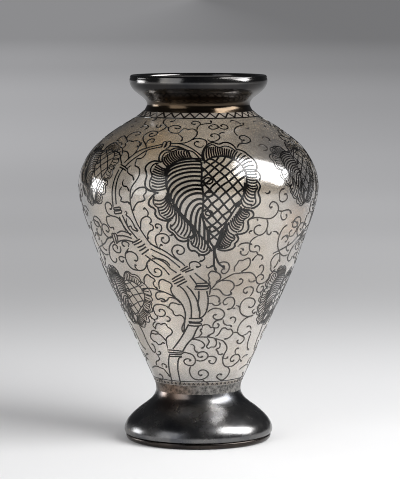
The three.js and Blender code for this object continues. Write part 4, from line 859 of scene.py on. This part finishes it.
def small_leaf(middle, scale, turn):
    """The large leaf moved to a middle, scaled, and turned by degrees about it."""
    def place(points):
        x = (points[:, 0] - LARGE_LEAF_MIDDLE[0]) * per_degree(LARGE_LEAF_MIDDLE[1]) * scale
        y = (points[:, 1] - LARGE_LEAF_MIDDLE[1]) * scale
        across, rise = rotated(x, y, math.radians(turn))
        up = middle[1] + rise
        return np.stack([middle[0] + across / per_degree(up), up], axis=1)

    return leaf(place, small=True)


# Materials.
def node(material, kind, **settings):
    made = material.node_tree.nodes.new(kind)
    for key, value in settings.items():
        if key in made.inputs:
            made.inputs[key].default_value = value
        else:
            setattr(made, key, value)
    return made


def link(material, source, target):
    material.node_tree.links.new(source, target)


def feed(material, values, sockets):
    """Sets each socket to a number or a colour, or links it to another node's output."""
    for value, socket in zip(values, sockets):
        if isinstance(value, (int, float)):
            socket.default_value = value
        elif isinstance(value, tuple):
            socket.default_value = (*value, 1)
        else:
            link(material, value, socket)


def shader(name, color, roughness, metallic=0.0, **settings):
    material = bpy.data.materials.new(name)
    material.use_nodes = True
    body = material.node_tree.nodes["Principled BSDF"]
    body.inputs["Base Color"].default_value = (*color, 1)
    body.inputs["Roughness"].default_value = roughness
    body.inputs["Metallic"].default_value = metallic
    for key, value in settings.items():
        body.inputs[key.replace("_", " ")].default_value = value
    return material, body


def place_in_object(material):
    return node(material, "ShaderNodeTexCoord").outputs["Object"]


def axis_of(material, axis):
    split = node(material, "ShaderNodeSeparateXYZ")
    link(material, place_in_object(material), split.inputs["Vector"])
    return split.outputs[axis]


def math_node(material, operation, *values, clamp=False):
    made = node(material, "ShaderNodeMath", operation=operation, use_clamp=clamp)
    feed(material, values, made.inputs)
    return made.outputs["Value"]


def map_range(material, source, start, end, low=0.0, high=1.0, kind="LINEAR"):
    made = node(material, "ShaderNodeMapRange", interpolation_type=kind)
    feed(material, (source, start, end, low, high), made.inputs)
    return made.outputs["Result"]


def noise(material, scale, detail=4.0, roughness=0.55):
    texture = node(material, "ShaderNodeTexNoise", Scale=scale, Detail=detail, Roughness=roughness)
    link(material, place_in_object(material), texture.inputs["Vector"])
    return texture.outputs["Fac"]


def grey(value):
    return (value, value, value)


def ramp(material, source, *stops):
    made = node(material, "ShaderNodeValToRGB")
    while len(made.color_ramp.elements) < len(stops):
        made.color_ramp.elements.new(0.5)
    for element, (at, color) in zip(made.color_ramp.elements, stops):
        element.position = at
        element.color = (*color, 1)
    link(material, source, made.inputs["Fac"])
    return made.outputs["Color"]


def mix(material, share, first, second, blend="MIX"):
    made = node(material, "ShaderNodeMix", data_type="RGBA", blend_type=blend)
    color_sockets = [socket for socket in made.inputs if socket.type == "RGBA"]
    feed(material, (share, first, second), [made.inputs[0], *color_sockets])
    return next(socket for socket in made.outputs if socket.type == "RGBA")


def times(material, first, second, share=1.0):
    return mix(material, share, first, second, "MULTIPLY")


def height_share(material, low, high):
    """How far up a place lies between two heights in millimetres, from 0 to 1."""
    return map_range(material, axis_of(material, "Z"), low * MM, high * MM)


def stain_and_painted_reflection(material, tone, middle, radius, color, grain, ragged):
    """The tone with a ragged patch of a colour round a middle, in millimetres: a real stain on the silver,
    and on the glass mostly painted reflection and shade.
    """
    away = node(material, "ShaderNodeVectorMath", operation="DISTANCE")
    link(material, place_in_object(material), away.inputs[0])
    away.inputs[1].default_value = [value * MM for value in middle]
    fray = noise(material, grain, detail=5, roughness=0.6)
    frayed = math_node(material, "MULTIPLY_ADD", fray, ragged * MM, away.outputs["Value"])
    share = map_range(material, frayed, (radius + ragged / 2) * MM, ragged / 2 * MM, kind="SMOOTHSTEP")
    return mix(material, share, tone, times(material, tone, color))


def finish(material, body, tone, bump_scale=None, bump_detail=3, bump_strength=0.1, bump_height=0.0002):
    """Gives a shader its colour and, where a scale is named, its fine bumps."""
    link(material, tone, body.inputs["Base Color"])
    if bump_scale:
        made = node(material, "ShaderNodeBump", Strength=bump_strength, Distance=bump_height)
        link(material, noise(material, scale=bump_scale, detail=bump_detail), made.inputs["Height"])
        link(material, made.outputs["Normal"], body.inputs["Normal"])


def uneven_gloss(material, body, scale, smoothest, roughest):
    """Patches that are more and less rough."""
    patches = ramp(material, noise(material, scale, detail=5),
                   (0.3, grey(smoothest)), (0.75, grey(roughest)))
    link(material, patches, body.inputs["Roughness"])


# Patches on the glass, mostly painted reflections of dark surroundings and painted shade, with a few warm
# lustre stains: middle, radius and tint.
PAINTED_REFLECTIONS_AND_STAINS = [
    ((62, -60, 236), 62, (0.4, 0.42, 0.47)), ((84, -42, 205), 44, (0.42, 0.44, 0.5)),
    ((-90, -25, 186), 36, (0.36, 0.4, 0.46)), ((-34, -66, 238), 30, (0.88, 0.76, 0.58)),
    ((-60, -50, 240), 40, (0.72, 0.68, 0.62)), ((80, -40, 150), 50, (0.66, 0.66, 0.69)),
    ((25, -75, 135), 55, (0.72, 0.66, 0.58)), ((76, -48, 178), 26, (1, 0.8, 0.58)),
    ((72, -30, 118), 30, (0.62, 0.65, 0.7)),
]
# A coppery stain at the waist, on the foot and on the cup.
COPPER_PLACE = (-22, -28)
# How the edge of a stain or of a painted reflection frays: how fine, and how far in millimetres.
REFLECTION_AND_STAIN_FRAY = (30, 30)
COPPER_FRAY = (80, 14)

# Glass: warm grey, browner towards the shoulder, with a mirror-like lustre over a slightly hazy body.
glass, body = shader("smoky_glass", (0.9, 0.87, 0.83), 0.16, Transmission_Weight=0.7, IOR=1.5,
                     Coat_Weight=1, Coat_IOR=2.0, Coat_Roughness=0.13)
by_height = ramp(glass, height_share(glass, low=40, high=270),
                 (0.0, (0.95, 0.91, 0.86)), (0.35, (0.9, 0.85, 0.79)), (0.68, (0.84, 0.79, 0.72)),
                 (0.83, (0.76, 0.69, 0.59)), (0.94, (0.6, 0.53, 0.44)), (1.0, (0.45, 0.4, 0.34)))
patches = ramp(glass, noise(glass, scale=16, detail=3), (0.38, grey(1)), (0.68, (0.93, 0.86, 0.75)))
grain = ramp(glass, noise(glass, scale=260, detail=3, roughness=0.7),
             (0.36, (0.8, 0.79, 0.77)), (0.56, grey(1)))
tone = times(glass, times(glass, by_height, patches, 0.9), grain, 0.7)
# Painted reflections and painted shade over the glass, with a few warm stains.
for middle, radius, color in PAINTED_REFLECTIONS_AND_STAINS:
    tone = stain_and_painted_reflection(glass, tone, middle, radius, color, *REFLECTION_AND_STAIN_FRAY)
finish(glass, body, tone, bump_scale=2600, bump_detail=2, bump_strength=0.12)

# Silver of the rim, dark with tarnish, browner low on the flare from tarnish, with painted reflections in
# lighter and darker bands up it.
rim_silver, body = shader("tarnished_silver", (0.2, 0.2, 0.21), 0.2, 1)
tone = ramp(rim_silver, noise(rim_silver, scale=35, detail=5),
            (0.35, (0.045, 0.047, 0.052)), (0.7, (0.1, 0.095, 0.09)))
# Bands up the flare: brown tarnish low down, then stripes of painted reflection, and a painted highlight
# that lightens the lip.
tarnish_and_painted_reflection = ramp(rim_silver, height_share(rim_silver, low=260, high=285),
             (0, (1.3, 0.95, 0.62)), (0.4, (0.6, 0.46, 0.33)), (0.6, (0.42, 0.34, 0.29)),
             (0.7, (0.72, 0.69, 0.68)), (0.82, (0.36, 0.35, 0.36)), (0.94, (0.42, 0.42, 0.43)),
             (1, grey(1.3)))
finish(rim_silver, body, times(rim_silver, tone, tarnish_and_painted_reflection), bump_scale=1500)
uneven_gloss(rim_silver, body, scale=60, smoothest=0.1, roughest=0.21)

# Silver of the foot, darker in the ring at its base.
foot_silver, body = shader("foot_silver", (0.16, 0.16, 0.16), 0.22, 1)
tone = ramp(foot_silver, noise(foot_silver, scale=40, detail=5),
            (0.35, (0.095, 0.098, 0.107)), (0.72, (0.23, 0.223, 0.215)))
tone = stain_and_painted_reflection(foot_silver, tone, (*COPPER_PLACE, 38), 22, (1.1, 0.78, 0.6), *COPPER_FRAY)
ring_shade = ramp(foot_silver, height_share(foot_silver, low=0, high=10),
                  (0, (0.3, 0.25, 0.22)), (0.45, (0.34, 0.29, 0.26)), (0.6, grey(1)))
finish(foot_silver, body, times(foot_silver, tone, ring_shade), bump_scale=1500)
uneven_gloss(foot_silver, body, scale=70, smoothest=0.2, roughest=0.33)

# Silver of the cup, mottled.
cup_silver, body = shader("mottled_silver", (0.3, 0.28, 0.26), 0.45, 1)
tone = ramp(cup_silver, noise(cup_silver, scale=300, detail=6, roughness=0.7),
            (0.38, (0.07, 0.07, 0.068)), (0.62, (0.34, 0.325, 0.305)))
tone = stain_and_painted_reflection(cup_silver, tone, (*COPPER_PLACE, 42), 30, (0.62, 0.44, 0.34), *COPPER_FRAY)
finish(cup_silver, body, tone, bump_scale=500, bump_detail=4, bump_strength=0.5, bump_height=0.0004)

# Silver of the lining and the underside, and the bedding.
lining_silver, body = shader("pale_silver", (0.6, 0.57, 0.52), 0.3, 1)
finish(lining_silver, body, ramp(lining_silver, noise(lining_silver, scale=50, detail=5),
                                 (0.3, (0.45, 0.41, 0.36)), (0.7, (0.7, 0.67, 0.62))))
plaster, body = shader("plaster", (0.68, 0.63, 0.54), 0.9)
finish(plaster, body, ramp(plaster, noise(plaster, scale=90, detail=6),
                           (0.3, (0.6, 0.55, 0.46)), (0.7, (0.74, 0.7, 0.62))))


def line_look(name, darkest, palest, coat_roughness):
    material, body = shader(name, palest, 0.4, Specular_IOR_Level=0, Coat_Weight=1, Coat_IOR=1.5,
                            Coat_Roughness=coat_roughness)
    finish(material, body, ramp(material, noise(material, scale=120), (0.3, darkest), (0.75, palest)))
    return material


# Lines of the vine: near black in the leaf and stem, greyer in the thin tendrils, pale on their undersides
# and in the beds of the borders.
LOOKS = [
    line_look("dark_line", (0.002, 0.0018, 0.0016), (0.008, 0.007, 0.006), 0.14),
    line_look("grey_line", (0.014, 0.011, 0.01), (0.062, 0.054, 0.047), 0.14),
    line_look("line_underside", (0.4, 0.38, 0.35), (0.55, 0.53, 0.5), 0.5),
    line_look("pale_mark", (0.15, 0.13, 0.11), (0.27, 0.235, 0.2), 0.3),
]


def shell(line, points, sheet):
    """A closed profile of a sheet: up its outside and down its inside, with its ends cut level."""
    inside = offset(line, sheet)
    inside[0] = [points[0][0] - sheet, points[0][1]]
    inside[-1] = [points[-1][0] - sheet, points[-1][1]]
    return np.vstack([line, inside[::-1]])


# The glass and the mounts.
wall = outline(BODY)
waist_cut = part_between(wall, WAIST + GAP, CUP_TOP)
glass_top = BODY[-1][1]
tube_inside = NECK_TUBE - GLASS_WALL
cavity = offset(outline(BODY, 2 * OUTLINE_STEP), GLASS_WALL)
cavity = cavity[(cavity[:, 1] > GLASS_FLOOR + GLASS_WALL) & (cavity[:, 0] > tube_inside + GAP)]
cavity = cavity[cavity[:, 1] < CAVITY_TOP]
turned("glass_vessel", np.vstack([
    [[0, GLASS_BOTTOM], [GLASS_SEAT, GLASS_BOTTOM], [radius_at(wall, CUP_TOP) - CUP_SHEET - GAP, CUP_TOP]],
    part_between(wall, CUP_TOP, glass_top),
    [[NECK_TUBE, glass_top], [NECK_TUBE, NECK_TUBE_TOP], [tube_inside, NECK_TUBE_TOP],
     [tube_inside, CAVITY_TOP]],
    cavity[::-1],
    [[radius_at(wall, GLASS_FLOOR) - 2 * GLASS_WALL, GLASS_FLOOR], [0, GLASS_FLOOR]],
]), glass, "glass_body")

neck = outline(NECK)
neck_foot = NECK[0][1]
turned("silver_rim", shell(neck, NECK, RIM_SHEET), rim_silver, "rim_shell")
turned("lip", outline(LIP, LIP_STEP), rim_silver, "lip_wire")
turned("lining", shell(outline(LINING), LINING, LINING_SHEET), lining_silver, "rim_lining")
bed = offset(part_between(neck[NECK_FLARE_STEPS:], NECK[1][1], CEMENT_TOP), RIM_SHEET + GAP)
turned("neck_bed", np.vstack([
    [[NECK[0][0] - RIM_SHEET - GAP, neck_foot]], bed,
    [[NECK_TUBE + GAP, bed[-1][1]], [NECK_TUBE + GAP, neck_foot]],
]), plaster, "neck_cement")

cup_inside = offset(waist_cut, CUP_SHEET)
cup_inside = cup_inside[cup_inside[:, 1] > CUP_FLOOR + GAP]
foot_top = FOOT[-1][0]
turned("foot_socket", np.vstack([
    [[0, WAIST], [foot_top, WAIST]], waist_cut, cup_inside[::-1],
    [[radius_at(wall, CUP_FLOOR) - CUP_SHEET, CUP_FLOOR], [0, CUP_FLOOR]],
]), cup_silver, "foot_cup")
turned("socket_bed", [
    (0, CUP_FLOOR), (GLASS_SEAT - GAP, CUP_FLOOR), (GLASS_SEAT - GAP, GLASS_BOTTOM), (0, GLASS_BOTTOM),
], plaster, "cup_cement")

dome = outline(FOOT)
ceiling = WAIST - FOOT_SHEET
dome_inside = offset(dome, FOOT_SHEET)
dome_inside[0] = [FOOT[0][0] - FOOT_SHEET, FOOT[0][1]]
dome_inside = dome_inside[dome_inside[:, 1] < ceiling - GAP]
turned("silver_foot", np.vstack([
    dome, [[0, WAIST], [0, ceiling], [foot_top - FOOT_SHEET, ceiling]], dome_inside[::-1],
]), foot_silver, "foot_dome")
turned("foot_ring", np.vstack([
    outline(RING, RING_STEP),
    [[RING_WELL, RING_TOP], [RING_WELL, RING_LEDGE], [RING_BORE, RING_LEDGE], [RING_BORE, 0]],
]), foot_silver, "base_ring")
plate_radius = RING_WELL - GAP
turned("underside_plate", [
    (0, RING_LEDGE), (plate_radius, RING_LEDGE), (plate_radius, PLATE_TOP), (0, PLATE_TOP),
], lining_silver, "base_plate")
filling = offset(dome, FOOT_SHEET + GAP)
filling = filling[(filling[:, 1] > FILLING_BOTTOM) & (filling[:, 1] < ceiling - GAP)]
turned("foot_fill", np.vstack([
    [[0, PLATE_TOP], [plate_radius, PLATE_TOP], [plate_radius, RING_TOP]], filling,
    [[foot_top - FOOT_SHEET - GAP, ceiling], [0, ceiling]],
]), plaster, "foot_filling")

# The vine, drawn once and turned for each plant.
vine = Lines()
vine.draw_all(STEM + TIES, STEM_WIDTH)
vine.draw_all(LEAVES + TENDRILS, TENDRIL_WIDTH, rolled=True)
vine.draw_all(PALE_TENDRILS + LOW_TENDRILS, TENDRIL_WIDTH, GREY, rolled=True)
large_leaf = leaf()
large_leaf.draw_all(STALK, LEAF_WIDTH, rolled=True)
side_leaf = small_leaf(*SIDE_LEAF)
low_leaf = small_leaf(*LOW_LEAF)
for plant in range(PLANTS):
    turn = plant * 360 / PLANTS
    number = plant + 1
    vine.piece(f"vine_{number}", f"vine_stem_{number}", turn)
    large_leaf.piece(f"heart_leaf_{number}", f"large_leaf_{number}", turn)
    side_leaf.piece(f"side_heart_{number}", f"side_leaf_{number}", turn)
    low_leaf.piece(f"low_heart_{number}", f"low_leaf_{number}", turn)


def ring(lines, up, width, look=DARK, height=LINE_HEIGHT):
    """A line all round the glass at one height."""
    circle = np.linspace(0, 360, CIRCLE_STEPS + 1)
    lines.draw([(angle, up) for angle in circle], width, look, height=height)


# Borders that circle the glass: dark marks on a thin pale bed, beside a plain line.
neck_band = Lines()
ring(neck_band, (NECK_TEETH_LOW + NECK_TEETH_HIGH) / 2, NECK_TEETH_HIGH - NECK_TEETH_LOW, PALE, BED_HEIGHT)
ring(neck_band, NECK_LINE, NECK_LINE_WIDTH)
teeth = []
for i in range(NECK_TEETH + 1):
    middle = NECK_TEETH_PHASE + i * 360 / NECK_TEETH
    teeth.append((middle, NECK_TEETH_LOW))
    if i < NECK_TEETH:
        teeth.append((middle + 180 / NECK_TEETH, NECK_TEETH_HIGH))
neck_band.draw(teeth, NECK_TOOTH_WIDTH, curved=False)
neck_band.piece("neck_zigzag", "neck_border")
waist_band = Lines()
ring(waist_band, WAIST_LINE, WAIST_LINE_WIDTH)
ring(waist_band, WAIST_BED, WAIST_BED_WIDTH, PALE, BED_HEIGHT)
for i in range(WAIST_TEETH):
    middle = i * 360 / WAIST_TEETH
    tooth = [(middle - WAIST_TOOTH_REACH, WAIST_TEETH_LOW), (middle, WAIST_TEETH_HIGH),
             (middle + WAIST_TOOTH_REACH, WAIST_TEETH_LOW)]
    waist_band.draw(tooth, WAIST_TOOTH_WIDTH, curved=False)
waist_band.piece("waist_zigzag", "waist_border")

# Floor: a pale sweep. What the camera, metal and glass see of it differs from the light that it gives back
# to the object. That seen brightness is painted light: by metres from the object, it gets brighter and then
# fades, as lamp light falls off. It fades far away to the right, rises a little to the right close by as a
# painted pool of the key's light, and is dim in reflections where it lies in front, a painted shade.
FLOOR_COLOR = 0.8
FLOOR_HALF = 300
SEEN_BY_DISTANCE = [(0, 1.2), (0.3, 1.15), (0.95, 0.96), (1.7, 1.19), (2.4, 1.35), (3.8, 1.48), (6.6, 1.38),
                    (11, 1.13), (20, 0.88)]
FADE_TO_RIGHT = [(-1.5, 1.13), (1.5, 0.76)]
RISE_TO_RIGHT = [(-0.3, -0.09), (0.3, 0.08)]
RISE_BY_DISTANCE = [(2, 1), (4.5, 0)]
REFLECTED_IN_FRONT = [(-0.36, 0.07), (-0.12, 0.92)]


def curve_of(material, source, stops):
    """A value that eases from stop to stop, each (input, output)."""
    value = float(stops[0][1])
    for (x0, y0), (x1, y1) in zip(stops, stops[1:]):
        step = map_range(material, source, x0, x1, high=y1 - y0, kind="SMOOTHSTEP")
        value = math_node(material, "ADD", value, step)
    return value


floor_mesh = bpy.data.meshes.new("floor")
corners = [(x * FLOOR_HALF, y * FLOOR_HALF, 0) for x, y in ((-1, -1), (1, -1), (1, 1), (-1, 1))]
floor_mesh.from_pydata(corners, [], [(0, 1, 2, 3)])
floor = bpy.data.objects.new("floor", floor_mesh)
bpy.context.scene.collection.objects.link(floor)
floor_look, body = shader("pale_floor", grey(FLOOR_COLOR), 1)
away = node(floor_look, "ShaderNodeVectorMath", operation="LENGTH")
link(floor_look, place_in_object(floor_look), away.inputs[0])
distance = away.outputs["Value"]
across = axis_of(floor_look, "X")
seen = math_node(floor_look, "MULTIPLY", curve_of(floor_look, distance, SEEN_BY_DISTANCE),
                 curve_of(floor_look, across, FADE_TO_RIGHT))
rise = math_node(floor_look, "MULTIPLY", curve_of(floor_look, across, RISE_TO_RIGHT),
                 curve_of(floor_look, distance, RISE_BY_DISTANCE))
seen = math_node(floor_look, "MULTIPLY_ADD", seen, rise, seen)
ray = node(floor_look, "ShaderNodeLightPath").outputs
glossy = math_node(floor_look, "MULTIPLY", ray["Is Glossy Ray"],
                   curve_of(floor_look, axis_of(floor_look, "Y"), REFLECTED_IN_FRONT))
rays = math_node(floor_look, "ADD", ray["Is Camera Ray"], glossy)
rays = math_node(floor_look, "ADD", rays, ray["Is Transmission Ray"], clamp=True)
plain = node(floor_look, "ShaderNodeBsdfDiffuse", Color=(*grey(FLOOR_COLOR), 1))
bright = node(floor_look, "ShaderNodeBsdfDiffuse")
link(floor_look, math_node(floor_look, "MULTIPLY", seen, FLOOR_COLOR), bright.inputs["Color"])
chosen = node(floor_look, "ShaderNodeMixShader")
feed(floor_look, (rays, plain.outputs["BSDF"], bright.outputs["BSDF"]), chosen.inputs)
link(floor_look, chosen.outputs["Shader"], floor_look.node_tree.nodes["Material Output"].inputs["Surface"])
floor_look.node_tree.nodes.remove(body)
floor_mesh.materials.append(floor_look)

# Lamps, aimed at the vase's belly.
LAMP_AIM = Vector((0, 0, 0.2))


def area_light(name, place, wide, tall, radiance, roll=0):
    """A soft panel that faces the vase, with the light that it gives per square metre and direction."""
    data = bpy.data.lights.new(name, "AREA")
    data.shape = "RECTANGLE"
    data.size = wide
    data.size_y = tall
    data.energy = radiance * math.pi * wide * tall
    lamp = bpy.data.objects.new(name, data)
    lamp.location = place
    facing = (LAMP_AIM - Vector(place)).to_track_quat("-Z", "Y")
    lamp.rotation_euler = (facing @ Quaternion((0, 0, 1), math.radians(roll))).to_euler()
    lamp.visible_camera = False
    bpy.context.scene.collection.objects.link(lamp)
    return lamp


# The key lights the surfaces. Glass and silver reflect the gleam in its place, a panel of another shape.
key = area_light("key", (1.065, -0.69, 1.03), wide=1.2, tall=0.9, radiance=8.5, roll=30)
key.visible_glossy = False
gleam = area_light("key_gleam", (1.22, -0.35, 1.03), wide=1.4, tall=0.75, radiance=12, roll=-42)
gleam.visible_diffuse = False
area_light("left_window", (-1.43, 0.52, 0.25), wide=0.5, tall=0.42, radiance=9)
area_light("panel", (-1.1, -1.0, 0.5), wide=1.0, tall=1.2, radiance=1.6)

# The room: its plain light, what metal and glass see of it, and what the camera sees of it.
ROOM_LIGHT = (0.33, 0.33, 0.34)
ROOM_REFLECTED = (0.05, 0.051, 0.055)
ROOM_SEEN = (0.2, 0.2, 0.2)
world = bpy.data.worlds.new("room")
world.use_nodes = True
ray = node(world, "ShaderNodeLightPath").outputs
given = mix(world, ray["Is Glossy Ray"], ROOM_LIGHT, ROOM_REFLECTED)
link(world, mix(world, ray["Is Camera Ray"], given, ROOM_SEEN),
     world.node_tree.nodes["Background"].inputs["Color"])

# Camera.
camera_data = bpy.data.cameras.new("camera")
camera_data.sensor_fit = "VERTICAL"
camera_data.sensor_height = SENSOR
camera_data.lens = FOCAL_PIXELS / IMAGE_HEIGHT * SENSOR
camera_data.shift_x = AXIS_LEFT_OF_CENTRE / IMAGE_HEIGHT
camera = bpy.data.objects.new("camera", camera_data)
camera.location = EYE
camera.rotation_euler = (math.radians(90 - EYE_PITCH), 0, 0)
scene = bpy.context.scene
scene.collection.objects.link(camera)
scene.camera = camera
scene.world = world
scene.view_settings.view_transform = "Standard"
scene.cycles.filter_width = PIXEL_FILTER
